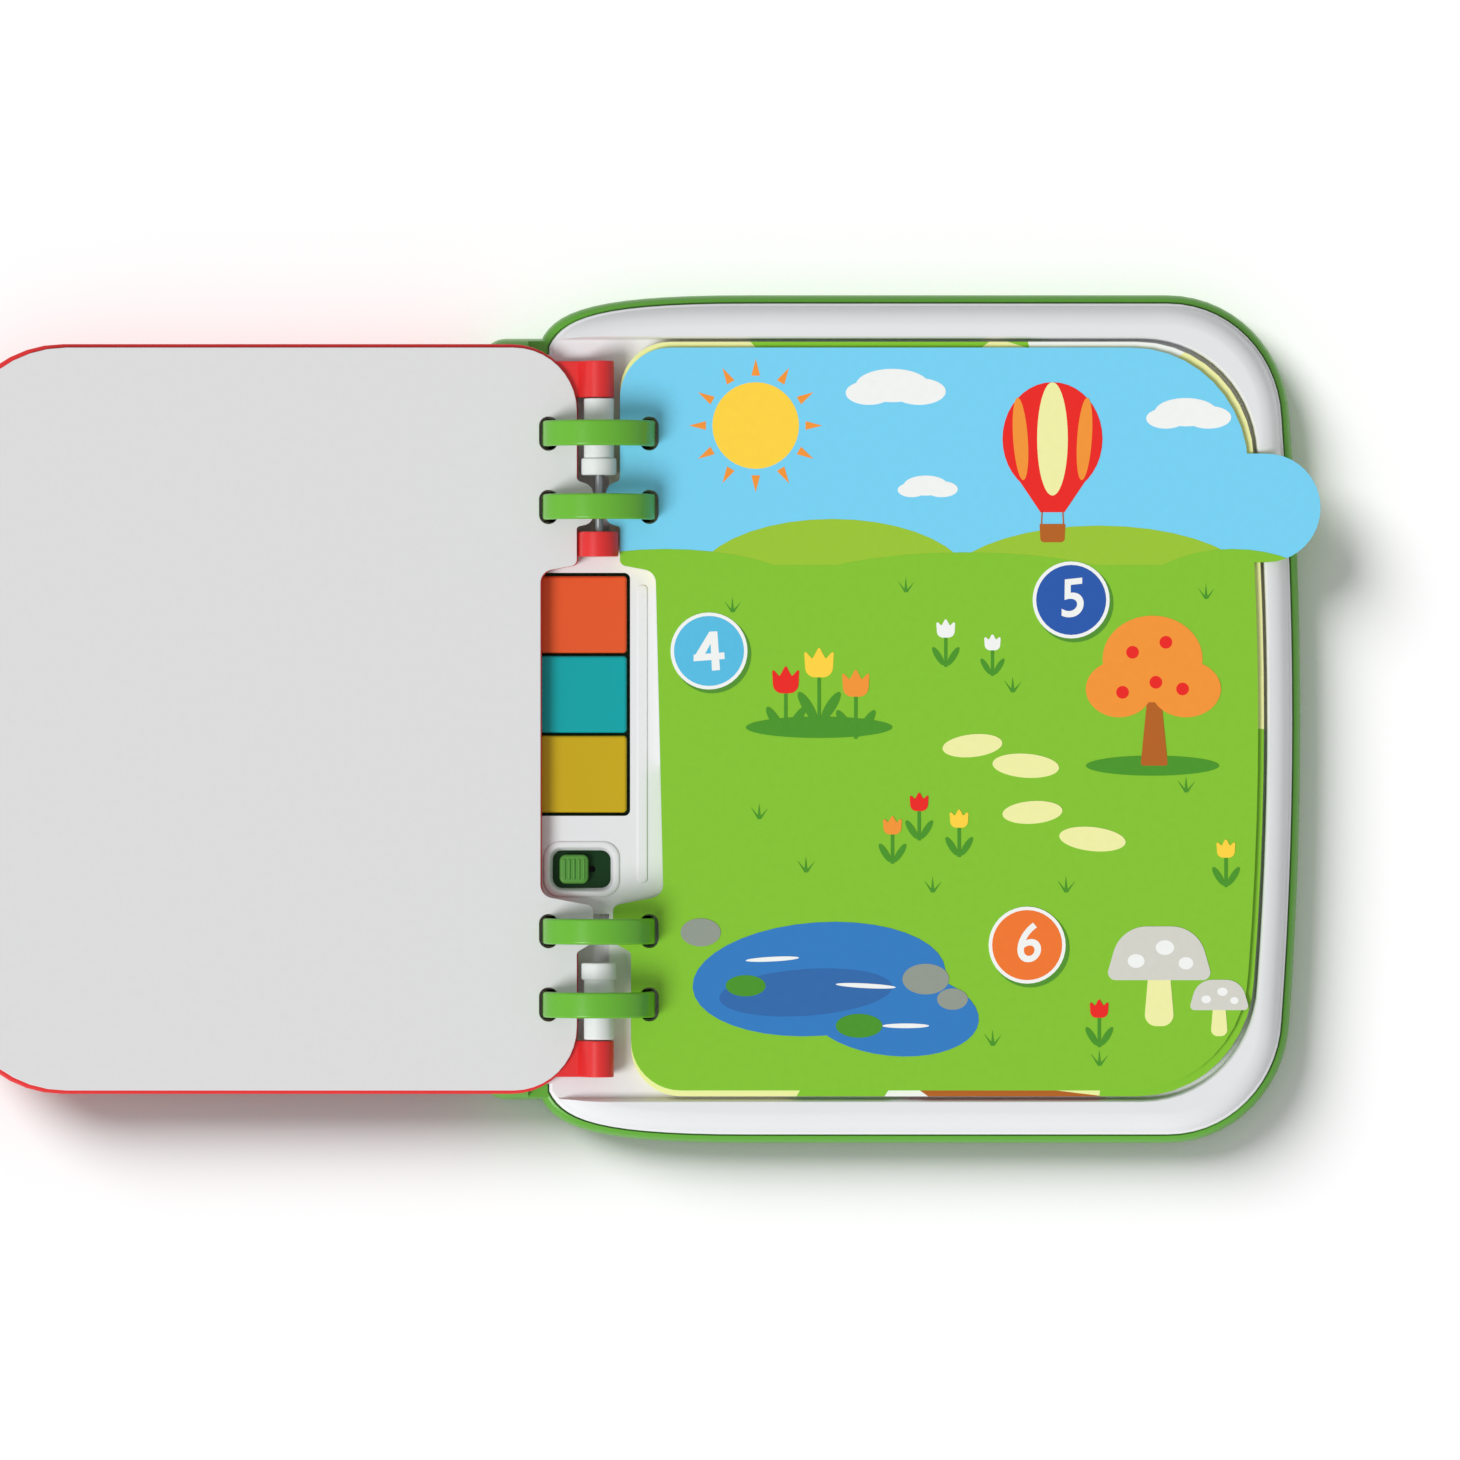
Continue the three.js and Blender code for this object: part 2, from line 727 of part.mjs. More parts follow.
function cell(row) {
  const y = bayY + (row - 1) * cellPitch;
  const nub = 1.2;
  const geometry = new THREE.LatheGeometry([
    point(0, 0),
    point(cellRadius - 0.4, 0),
    point(cellRadius, 0.4),
    point(cellRadius, cellLength - nub - 0.4),
    point(cellRadius - 0.4, cellLength - nub),
    point(1.9, cellLength - nub),
    point(1.9, cellLength),
    point(0, cellLength),
  ], 12);
  geometry.translate(0, -cellLength / 2, 0);
  geometry.rotateZ(row % 2 === 0 ? Math.PI / 2 : -Math.PI / 2);
  geometry.translate(bayX, y, cellZ);
  return solid(geometry);
}

function batteryContact(side) {
  const outer = bayX + side * (baySize.x - seatGap);
  const inner = outer - side * contactThickness;
  return block(
    Math.min(outer, inner),
    Math.max(outer, inner),
    bayY - baySize.y + seatGap,
    bayY + baySize.y - seatGap,
    doorTop + seatGap,
    bayRoof - seatGap,
  );
}

// White upper housing
const crownProfile = [[0, 0], [0.19, 0], [0.25, 0.1], [0.63, 0.31], [0.92, 0.62], [1, 1]];
const crownRoomProfile = [[0, 0.34], [0.43, 0.53], [1, 1]];

function tray() {
  const outline = inset(bodyOutline(), trayInset);
  const crown = sloped(outline, trayBottom, rimTop, crownDepth, crownProfile);
  const pocket = loft([
    [floorZ, pocketOutline(-0.3)],
    [floorZ + 0.5, pocketOutline(0)],
    [rimTop - 0.4, pocketOutline(0.15)],
    [rimTop + 0.5, pocketOutline(0.9)],
  ]);
  const spineTrim = block(spineLeft, rimLeft, -bodyHalfHeight, bodyHalfHeight, 0, rimTop + 1);
  const lipHalf = spineHalfHeight - 5;
  const spineLip = block(trayLeft, 0, -lipHalf, lipHalf, floorBottom, floorZ);
  const underFloor = loft([
    [trayBottom - 1, inset(outline, crownWall)],
    [floorBottom, inset(outline, crownWall)],
  ]).add(block(spineLeft, 0, -lipHalf, lipHalf, trayBottom - 1, floorBottom));
  const crownRoom = sloped(outline, floorBottom - 0.3, rimTop - 2, crownDepth - 0.6, crownRoomProfile)
    .subtract(prism(pocketOutline(floorThickness), 0, rimTop + 1));
  const shell = crown.subtract(pocket).subtract(spineTrim).subtract(underFloor).subtract(crownRoom);
  const raised = [spineLip, ...trayBosses(), hingeWell(1, 0), hingeWell(-1, 0), bezelLip(), raisedRib()];
  return joined([shell, ...raised])
    .subtract(joined([hingeWell(1, wellWall), hingeWell(-1, wellWall)]))
    .add(joined(trayKnuckles()))
    .subtract(joined([...ringRows.map(ringRoom), ...bossBores(), ...pinBores()]))
    .subtract(joined([keyOpening(), switchFunnel()]));
}

function hingeWell(side, wall) {
  // the trough under the knuckles; with wall 0 its outer form, else the room inside it
  const radius = wellRadius + wellWall - wall;
  const top = floorZ + (wall > 0 ? 1 : 0);
  const right = wellRight + wellWall - wall;
  const from = Math.PI + Math.asin((axisZ - top) / radius);
  const to = 1.5 * Math.PI + Math.asin(right / radius);
  const steps = 7;
  const points = [];
  for (let i = 0; i <= steps; i += 1) {
    const angle = from + (to - from) * i / steps;
    points.push(point(radius * Math.cos(angle), axisZ + radius * Math.sin(angle)));
  }
  points.push(point(right, top));
  const low = middleKnuckle[0] - 1 + wall;
  const high = endKnuckle[1] + 1.5 - wall;
  return side > 0 ? section(points, low, high) : section(points, -high, -low - 9);
}

function trayKnuckles() {
  const foot = floorZ - 1;
  return [1, -1].flatMap((side) => {
    const [low, high] = side > 0 ? [trayCollar[0], trayBarrel[1]] : [-trayBarrel[1], -trayCollar[0]];
    const collar = side > 0 ? trayCollar : [-trayCollar[1], -trayCollar[0]];
    const neck = [
      point(-1.5, foot - 4),
      point(wellRight + 1, foot - 4),
      point(barrelRadius, foot),
      point(barrelRadius, axisZ),
      point(-1.5, axisZ),
    ];
    return [shaft(barrelRadius, low, high), shaft(collarRadius, ...collar), section(neck, low, high)];
  });
}

function pinBores() {
  return [
    shaft(pinRadius + seatGap, 0, endKnuckle[1], 12),
    shaft(pinRadius + seatGap, -endKnuckle[1], 0, 12),
  ];
}

function keyOpening() {
  const left = keyRight - keyLength - panelMargin;
  const low = keyTopY - 2 * keyPitch - keyHeight - panelMargin;
  const outline = rectangle(left, keyRight + panelMargin, low, keyTopY + panelMargin, 1.6);
  return prism(outline, floorBottom - 1, floorZ + 2);
}

const switchRecess = {
  left: switchX - thumbSize / 2 - 1.5,
  right: switchX + thumbSize / 2 + thumbTravel + 1,
  low: switchY - thumbSize / 2 - 0.65,
  high: switchY + thumbSize / 2 + 0.65,
};

function recessOutline(grow) {
  const { left, right, low, high } = switchRecess;
  return rectangle(left - grow, right + grow, low - grow, high + grow, recessCorner + grow * 0.6);
}

function bezelLip() {
  const reach = bezelWidth * 2;
  return loft([
    [floorZ - 1, recessOutline(reach)],
    [floorZ + 0.1, recessOutline(reach)],
    [floorZ + bezelRise - 0.15, recessOutline(reach - 0.4)],
    [floorZ + bezelRise, recessOutline(reach - 0.9)],
  ]);
}

function switchFunnel() {
  return loft([
    [floorBottom - 1, recessOutline(0)],
    [floorBottom + 0.4, recessOutline(0)],
    [floorZ + bezelRise - 0.4, recessOutline(bezelWidth - 0.5)],
    [floorZ + bezelRise + 0.2, recessOutline(bezelWidth + 0.3)],
  ]);
}

function raisedRib() {
  const { x, width, low, high, rise } = panelRib;
  return plate(rectangle(x - width / 2, x + width / 2, low, high, 0.6), floorZ - 0.8, floorZ + rise, 0.25);
}

function trayBosses() {
  const bossFoot = screwSeatZ + screwWellRise + seatGap;
  return screwPlaces().map(([x, y]) => post(x, y, bossRadius, bossFoot, floorBottom + 0.5));
}

function bossBores() {
  return screwPlaces().map(([x, y]) => post(x, y, screwShankRadius + 0.1, 0, floorBottom - 0.6));
}

// Keys and switch
function key(row) {
  const high = keyTopY - row * keyPitch;
  const low = high - keyHeight;
  const left = keyRight - keyLength;
  const middleX = keyRight - keyLength / 2;
  const middleY = (low + high) / 2;
  const bottom = keyTop - keyDepth;
  const cap = plate(rectangle(left, keyRight, low, high, 1), bottom, keyTop, 0.45);
  const hollow = block(left + 2, keyRight - 2, low + 2, high - 2, bottom - 1, keyTop - 1.8);
  const flangeTop = floorBottom - seatGap;
  const flange = block(left - panelMargin - 1, left + 1, middleY - 6, middleY + 6, bottom, flangeTop);
  const tabRight = keyRight + panelMargin + 1;
  const catchTab = block(keyRight - 1, tabRight, middleY - 3, middleY + 3, bottom, flangeTop);
  const plunger = post(middleX, middleY, plungerRadius, bottom - plungerDrop, keyTop - 1, 10);
  return cap.subtract(hollow).add(joined([flange, catchTab, plunger]));
}

function keyDome(row) {
  const x = keyRight - keyLength / 2;
  const y = keyTopY - row * keyPitch - keyHeight / 2;
  const low = boardTop + seatGap;
  const high = keyTop - keyDepth - plungerDrop - seatGap;
  return turned([
    [0, low],
    [5.2, low],
    [5.2, low + 0.7],
    [plungerRadius + 0.6, high - 0.8],
    [plungerRadius, high],
    [0, high],
  ], x, y, 12);
}

const plateTop = floorBottom - seatGap;

function switchPlate() {
  const slotHalf = stemWidth / 2 + sideGap;
  const slot = rectangle(
    switchX - stemLength / 2 - sideGap,
    switchX + stemLength / 2 + thumbTravel + sideGap,
    switchY - slotHalf,
    switchY + slotHalf,
    0.6,
  );
  return prism(recessOutline(2), plateTop - plateThickness, plateTop, [slot]);
}

function switchThumb() {
  const half = thumbSize / 2;
  const low = plateTop + seatGap;
  const high = floorZ + thumbRise;
  const outline = rectangle(switchX - half, switchX + half, switchY - half, switchY + half, 1.8);
  const cap = plate(outline, low, high, 0.5);
  const ribPitch = 1.5;
  const grooves = [];
  for (let i = -1.5; i <= 1.5; i += 1) {
    const x = switchX + i * ribPitch;
    grooves.push(block(x - 0.3, x + 0.3, switchY - half + 1.1, switchY + half - 1.1, high - 0.35, high + 1));
  }
  const stem = block(
    switchX - stemLength / 2,
    switchX + stemLength / 2,
    switchY - stemWidth / 2,
    switchY + stemWidth / 2,
    plateTop - plateThickness - 0.9,
    low + 0.5,
  );
  return cap.add(stem).subtract(joined(grooves));
}

function switchBody() {
  const top = plateTop - plateThickness - 0.9 - seatGap;
  const halfX = 5.5;
  const halfY = 3.5;
  const right = switchX + halfX + thumbTravel;
  return block(switchX - halfX, right, switchY - halfY, switchY + halfY, boardTop + seatGap, top);
}

// Electronics
function circuitBoard() {
  const outline = rectangle(board.left, board.right, board.low, board.high, 1.5);
  return prism(outline, boardTop - boardThickness, boardTop);
}

function soundChip() {
  const low = boardTop + seatGap;
  const blob = [[0, low], [4.4, low], [3.9, low + 1], [2.4, low + 1.7], [0, low + 2]];
  return turned(blob, board.right - 6, switchY + 12, 12);
}

function speaker() {
  const low = cavityFloor + seatGap;
  const coneRadius = speakerRadius - 3.5;
  const magnetRadius = speakerRadius - 9;
  return turned([
    [0, low + 2.2],
    [4, low + 2],
    [coneRadius - 4.5, low + 0.9],
    [coneRadius, low + 0.5],
    [coneRadius + 1, low],
    [speakerRadius, low],
    [speakerRadius, low + 1.4],
    [coneRadius, low + 2.2],
    [magnetRadius + 1, low + 5.4],
    [magnetRadius, low + 5.4],
    [magnetRadius, low + speakerHeight],
    [0, low + speakerHeight],
  ], speakerX, speakerY, 14);
}

function touchMembrane() {
  const top = floorBottom - seatGap;
  const half = leafHalfHeight - membraneMargin;
  const outline = rectangle(2 * membraneMargin, leafRight - membraneMargin, -half, half, 10);
  return prism(outline, top - membraneThickness, top);
}

// Hinge pins
function topPin() {
  return shaft(pinRadius, middleKnuckle[0] + pinStop + seatGap, endKnuckle[1] - pinStop - seatGap, 12);
}

function bottomPin() {
  return shaft(pinRadius, pinStop + seatGap - endKnuckle[1], -trayCollar[0], 12);
}

// The whole book
const book = new THREE.Group();
book.add(part('base_shell', baseShell(), material.green));
book.add(part('tray', tray(), material.white));
book.add(part('front_cover', frontCover(), material.red));
book.add(part('turned_leaf', turnedLeaf(), material.board));
book.add(part('page_block', pageBlock(), material.print));
ringRows.forEach((y, i) => book.add(part(`ring_${i + 1}`, ring(y), material.ring)));
book.add(part('hinge_pin_top', topPin(), material.steel));
book.add(part('hinge_pin_bottom', bottomPin(), material.steel));
['orange', 'teal', 'yellow'].forEach((colour, row) => {
  book.add(part(`key_${colour}`, key(row), material[colour]));
  book.add(part(`key_dome_${colour}`, keyDome(row), material.rubber));
});
book.add(part('switch_thumb', switchThumb(), material.ring));
book.add(part('switch_plate', switchPlate(), material.darkGreen));
book.add(part('switch_body', switchBody(), material.zinc));
book.add(part('circuit_board', circuitBoard(), material.circuit));
book.add(part('sound_chip', soundChip(), material.black));
book.add(part('speaker', speaker(), material.black));
book.add(part('touch_membrane', touchMembrane(), material.film));
for (let row = 0; row < 3; row += 1) {
  book.add(part(`battery_${row + 1}`, cell(row), material.cell));
}
book.add(part('battery_contact_left', batteryContact(-1), material.steel));
book.add(part('battery_contact_right', batteryContact(1), material.steel));
book.add(part('battery_door', batteryDoor(), material.green));
book.add(part('battery_door_screw', batteryDoorScrew(), material.zinc));
screwPlaces().forEach(([x, y], i) => {
  book.add(part(`housing_screw_${i + 1}`, housingScrew(x, y), material.zinc));
});

export default book;
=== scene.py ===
# A toddler's sound book lying open: finishes and fine surfaces round its fixed frame.
# Pieces are drawn in millimetres and turned into metres as they are finished.

import math

import bmesh
import bpy
from mathutils import Matrix, Vector


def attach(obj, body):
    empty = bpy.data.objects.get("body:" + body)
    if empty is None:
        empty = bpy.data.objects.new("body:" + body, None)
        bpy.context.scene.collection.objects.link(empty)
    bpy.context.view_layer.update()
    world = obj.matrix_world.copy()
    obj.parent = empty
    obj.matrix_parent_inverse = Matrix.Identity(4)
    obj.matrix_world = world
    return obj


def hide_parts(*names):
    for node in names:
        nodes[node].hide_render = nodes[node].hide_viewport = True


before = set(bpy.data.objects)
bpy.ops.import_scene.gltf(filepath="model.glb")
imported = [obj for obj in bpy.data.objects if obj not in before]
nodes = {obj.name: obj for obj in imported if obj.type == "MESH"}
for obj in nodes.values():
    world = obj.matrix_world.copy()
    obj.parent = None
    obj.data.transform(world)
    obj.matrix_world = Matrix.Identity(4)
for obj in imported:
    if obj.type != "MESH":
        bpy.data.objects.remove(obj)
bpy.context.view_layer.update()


# Camera, floor and light
# The book is seen straight from above, from far away, on white seamless paper.
# One soft lamp lights it from the lower left, another lights the paper from the upper left.
view_width = 0.438
view_centre = (0.0393, -0.0033)
camera_height = 4.0
pages_height = 0.022
floor_half = 20.0
floor_gap = 0.0001


def add_node(tree, kind, settings=None, links=None):
    """Adds a node, sets its properties or inputs by name, and links its inputs."""
    node = tree.nodes.new(kind)
    for key, value in (settings or {}).items():
        if isinstance(key, str) and hasattr(node, key):
            setattr(node, key, value)
        else:
            node.inputs[key].default_value = value
    for key, source in (links or {}).items():
        tree.links.new(source, node.inputs[key])
    return node


def linear(code):
    """A linear colour from an sRGB hex value."""
    channels = [int(code[i:i + 2], 16) / 255 for i in (1, 3, 5)]
    curve = [c / 12.92 if c <= 0.04045 else ((c + 0.055) / 1.055) ** 2.4 for c in channels]
    return (*curve, 1)


lens = bpy.data.cameras.new("camera")
lens.lens = lens.sensor_width / 2 / (view_width / 2 / (camera_height - pages_height))
lens.clip_end = 100
camera = bpy.data.objects.new("camera", lens)
camera.location = (*view_centre, camera_height)
bpy.context.scene.collection.objects.link(camera)
bpy.context.scene.camera = camera
bpy.context.scene.view_settings.view_transform = "Standard"

bm = bmesh.new()
bmesh.ops.create_grid(bm, x_segments=1, y_segments=1, size=floor_half)
bmesh.ops.translate(bm, vec=(0, 0, -floor_gap), verts=bm.verts)
floor_mesh = bpy.data.meshes.new("floor")
bm.to_mesh(floor_mesh)
bm.free()
floor = bpy.data.objects.new("floor", floor_mesh)
bpy.context.scene.collection.objects.link(floor)
paper = bpy.data.materials.new("seamless_paper")
paper.use_nodes = True
paper.node_tree.nodes["Principled BSDF"].inputs["Base Color"].default_value = linear("#ffffff")
paper.node_tree.nodes["Principled BSDF"].inputs["Roughness"].default_value = 0.9
paper.node_tree.nodes["Principled BSDF"].inputs["Specular IOR Level"].default_value = 0.0
floor_mesh.materials.append(paper)


def sun(name, strength, spread, azimuth, height, floor_state):
    """A soft lamp from that direction and height in degrees, which includes or excludes the floor."""
    lamp = bpy.data.lights.new(name, "SUN")
    lamp.energy = strength
    lamp.angle = math.radians(spread)
    holder = bpy.data.objects.new(name, lamp)
    a = math.radians(azimuth)
    h = math.radians(height)
    towards = Vector((math.cos(a) * math.cos(h), math.sin(a) * math.cos(h), math.sin(h)))
    holder.rotation_euler = towards.to_track_quat("Z", "Y").to_euler()
    bpy.context.scene.collection.objects.link(holder)
    receivers = bpy.data.collections.new(name + "_receivers")
    receivers.objects.link(floor)
    holder.light_linking.receiver_collection = receivers
    receivers.collection_objects[0].light_linking.link_state = floor_state


sun("floor_light", 2.95, 34, 138, 40, "INCLUDE")
sun("key_light", 2.35, 26, 212, 50, "EXCLUDE")

sky = bpy.data.worlds.new("studio")
sky.use_nodes = True
bpy.context.scene.world = sky
tree = sky.node_tree
tree.nodes.clear()
path = add_node(tree, "ShaderNodeLightPath")
seen = add_node(tree, "ShaderNodeMath", {"operation": "MAXIMUM"},
                {0: path.outputs["Is Camera Ray"], 1: path.outputs["Is Transmission Ray"]})
seen = add_node(tree, "ShaderNodeMath", {"operation": "MAXIMUM"},
                {0: seen.outputs[0], 1: path.outputs["Is Glossy Ray"]})
fill_level = 0.42
level = add_node(tree, "ShaderNodeMapRange", {"To Min": fill_level, "To Max": 1.0},
                 {"Value": seen.outputs[0]})
glow = add_node(tree, "ShaderNodeBackground", {"Color": (1, 1, 1, 1)}, {"Strength": level.outputs[0]})
add_node(tree, "ShaderNodeOutputWorld", links={"Surface": glow.outputs[0]})


# Green lower housing
# One injection moulding in glossy green ABS that bulges round the book and carries the spine.
# Its underside has the battery bay, the screw wells and the slots in front of the speaker.
mm = 0.001
shell_right, shell_half, shell_corner, shell_bulge = 211.0, 127.6, 37.0, 3.3
shoulder_start, shoulder_x, shoulder_y = 45.0, -17.8, 113.5
spine_left, spine_right, spine_half, spine_corner = -36.0, 14.0, 114.5, 8.0
widest_z, shell_top, spine_top, wall = 8.0, 14.9, 18.2, 2.3


def rounded(corners):
    """Bezier points [point, handle before, handle after] from corners [x, y, radius]."""
    points = []
    for i, (x, y, radius) in enumerate(corners):
        here = Vector((x, y, 0))
        if radius == 0:
            points.append((here, here, here))
            continue
        before = Vector((*corners[i - 1][:2], 0))
        after = Vector((*corners[(i + 1) % len(corners)][:2], 0))
        back = (before - here).normalized()
        ahead = (after - here).normalized()
        half = math.acos(max(-1, min(1, back.dot(ahead)))) / 2
        reach = radius / math.tan(half)
        grip = 4 / 3 * math.tan((math.pi - 2 * half) / 4) * radius
        start = here + back * reach
        end = here + ahead * reach
        points.append((start, start, start - back * grip))
        points.append((end, end - ahead * grip, end))
    return points


def rectangle(left, right, low, high, radius):
    """A rectangle with round corners."""
    return rounded([(left, low, radius), (right, low, radius), (right, high, radius), (left, high, radius)])


def fore_edge(right, half, corner, bulge):
    """The bulged fore-edge of a leaf or of the housing, upwards, with its two round corners."""
    grip = 0.5523 * corner
    side = right - bulge
    reach = half - corner
    low = Vector((side - corner, -half, 0))
    high = Vector((side - corner, half, 0))
    out = Vector((side, -reach, 0))
    into = Vector((side, reach, 0))
    lean = Vector((bulge * 1.33, reach * 0.67, 0))
    lean_back = Vector((bulge * 1.33, -reach * 0.67, 0))
    return [
        (low, low, low + Vector((grip, 0, 0))),
        (out, out - Vector((bulge * 0.25, grip, 0)), out + lean),
        (into, into + lean_back, into + Vector((-bulge * 0.25, grip, 0))),
        (high, high + Vector((grip, 0, 0)), high),
    ]


def flat_mesh(loops, thickness=0.0, edge=0.0, steps=10, filled=True):
    """A mesh from closed Bezier loops, the inner ones as holes, with rounded edges if edge is given."""
    curve = bpy.data.curves.new("outline", "CURVE")
    curve.dimensions = "2D"
    curve.fill_mode = "BOTH" if filled else "NONE"
    curve.extrude = thickness / 2 - edge
    curve.bevel_depth = edge
    curve.bevel_resolution = 2
    curve.offset = -edge
    curve.resolution_u = steps
    for loop in loops:
        spline = curve.splines.new("BEZIER")
        spline.bezier_points.add(len(loop) - 1)
        spline.use_cyclic_u = True
        for knot, (here, before, after) in zip(spline.bezier_points, loop):
            knot.co = here
            knot.handle_left = before
            knot.handle_right = after
    holder = bpy.data.objects.new("outline", curve)
    bpy.context.scene.collection.objects.link(holder)
    bpy.context.view_layer.update()
    shape = holder.evaluated_get(bpy.context.evaluated_depsgraph_get())
    mesh = bpy.data.meshes.new_from_object(shape)
    bpy.data.objects.remove(holder)
    bm = bmesh.new()
    bm.from_mesh(mesh)
    bmesh.ops.remove_doubles(bm, verts=bm.verts, dist=0.002)
    if filled:
        bmesh.ops.recalc_face_normals(bm, faces=bm.faces)
    bm.to_mesh(mesh)
    bm.free()
    return mesh


def slab(loops, low, high, edge=0.0, steps=10):
    """A flat solid between two heights."""
    mesh = flat_mesh(loops, high - low, edge, steps)
    mesh.transform(Matrix.Translation((0, 0, (low + high) / 2)))
    return mesh


def climbed(loop, start, up, down=(), steps=14):
    """A closed form from an outline at height start: up and down list [inset, height] of its side."""
    bm = bmesh.new()
    bm.from_mesh(flat_mesh([loop], steps=steps, filled=False))
    face = bmesh.ops.contextual_create(bm, geom=bm.edges[:])["faces"][0]
    face.normal_update()
    if face.normal.z < 0:
        face.normal_flip()
    lower = bmesh.ops.duplicate(bm, geom=[face])
    foot = [f for f in lower["geom"] if isinstance(f, bmesh.types.BMFace)][0]
    foot.normal_flip()
    for side, profile in ((face, up), (foot, down)):
        inset, height = 0.0, start
        for next_inset, next_height in profile:
            side.normal_update()
            depth = abs(next_height - height)
            if next_inset - inset > 0.001:
                bmesh.ops.inset_region(bm, faces=[side], thickness=next_inset - inset, depth=depth,
                                       use_even_offset=True, use_boundary=True)
            else:
                ring = bmesh.ops.extrude_face_region(bm, geom=[side])
                bmesh.ops.delete(bm, geom=[side], context="FACES_KEEP_BOUNDARY")
                side = [f for f in ring["geom"] if isinstance(f, bmesh.types.BMFace)][0]
                rise = Vector((0, 0, next_height - height))
                bmesh.ops.translate(bm, vec=rise, verts=side.verts)
            inset, height = next_inset, next_height
    bmesh.ops.translate(bm, vec=(0, 0, start), verts=bm.verts)
    bmesh.ops.remove_doubles(bm, verts=bm.verts, dist=0.002)
    bmesh.ops.recalc_face_normals(bm, faces=bm.faces)
    mesh = bpy.data.meshes.new("form")
    bm.to_mesh(mesh)
    bm.free()
    return mesh


def box_mesh(left, right, low, high, bottom, top, edge=0.0, segments=3):
    """A block with rounded edges."""
    bm = bmesh.new()
    bmesh.ops.create_cube(bm, size=1)
    bmesh.ops.scale(bm, vec=(right - left, high - low, top - bottom), verts=bm.verts)
    bmesh.ops.translate(bm, vec=((left + right) / 2, (low + high) / 2, (bottom + top) / 2), verts=bm.verts)
    if edge > 0:
        bmesh.ops.bevel(bm, geom=bm.edges[:], offset=edge, segments=segments, affect="EDGES",
                        profile=0.5, material=-1)
    mesh = bpy.data.meshes.new("block")
    bm.to_mesh(mesh)
    bm.free()
    return mesh


def rod_mesh(radius, low, high, place, along_y=False, edge=0.0, segments=48):
    """A round bar, upright or along the hinge, with rounded ends."""
    bm = bmesh.new()
    bmesh.ops.create_cone(bm, cap_ends=True, segments=segments, radius1=radius, radius2=radius,
                          depth=high - low)
    if edge > 0:
        rims = [e for e in bm.edges if abs(e.verts[0].co.z - e.verts[1].co.z) < 1e-6]
        bmesh.ops.bevel(bm, geom=rims, offset=edge, segments=3, affect="EDGES", profile=0.5, material=-1)
    middle = (low + high) / 2
    if along_y:
        bmesh.ops.rotate(bm, cent=(0, 0, 0), matrix=Matrix.Rotation(math.pi / 2, 3, "X"), verts=bm.verts)
        bmesh.ops.translate(bm, vec=(place[0], middle, place[1]), verts=bm.verts)
    else:
        bmesh.ops.translate(bm, vec=(place[0], place[1], middle), verts=bm.verts)
    mesh = bpy.data.meshes.new("rod")
    bm.to_mesh(mesh)
    bm.free()
    return mesh


def merged(meshes):
    """Several meshes as one."""
    bm = bmesh.new()
    for mesh in meshes:
        bm.from_mesh(mesh)
    out = bpy.data.meshes.new("merged")
    bm.to_mesh(out)
    bm.free()
    return out


def cut(body, tools, operation="DIFFERENCE"):
    """The body with each tool cut from it, or joined to it, in turn."""
    holder = bpy.data.objects.new("body", body)
    bpy.context.scene.collection.objects.link(holder)
    helpers = []
    for tool in tools:
        helper = bpy.data.objects.new("tool", tool)
        bpy.context.scene.collection.objects.link(helper)
        helpers.append(helper)
        knife = holder.modifiers.new("knife", "BOOLEAN")
        knife.operation = operation
        knife.solver = "EXACT"
        knife.object = helper
    bpy.context.view_layer.update()
    shape = holder.evaluated_get(bpy.context.evaluated_depsgraph_get())
    mesh = bpy.data.meshes.new_from_object(shape)
    for helper in [holder, *helpers]:
        bpy.data.objects.remove(helper)
    return mesh


def finish(name, mesh, materials, body, replaced=(), smooth=32):
    """Puts a drawn mesh into the scene in metres, with its finish, on the body that carries it."""
    mesh.transform(Matrix.Scale(mm, 4))
    mesh.name = name
    mesh.materials.clear()
    for material in materials:
        mesh.materials.append(material)
    mesh.polygons.foreach_set("use_smooth", [True] * len(mesh.polygons))
    mesh.set_sharp_from_angle(angle=math.radians(smooth))
    piece = bpy.data.objects.new(name, mesh)
    bpy.context.scene.collection.objects.link(piece)
    even = piece.modifiers.new("even_normals", "WEIGHTED_NORMAL")
    even.keep_sharp = True
    even.weight = 60
    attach(piece, body)
    if replaced:
        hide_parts(*replaced)
    return piece


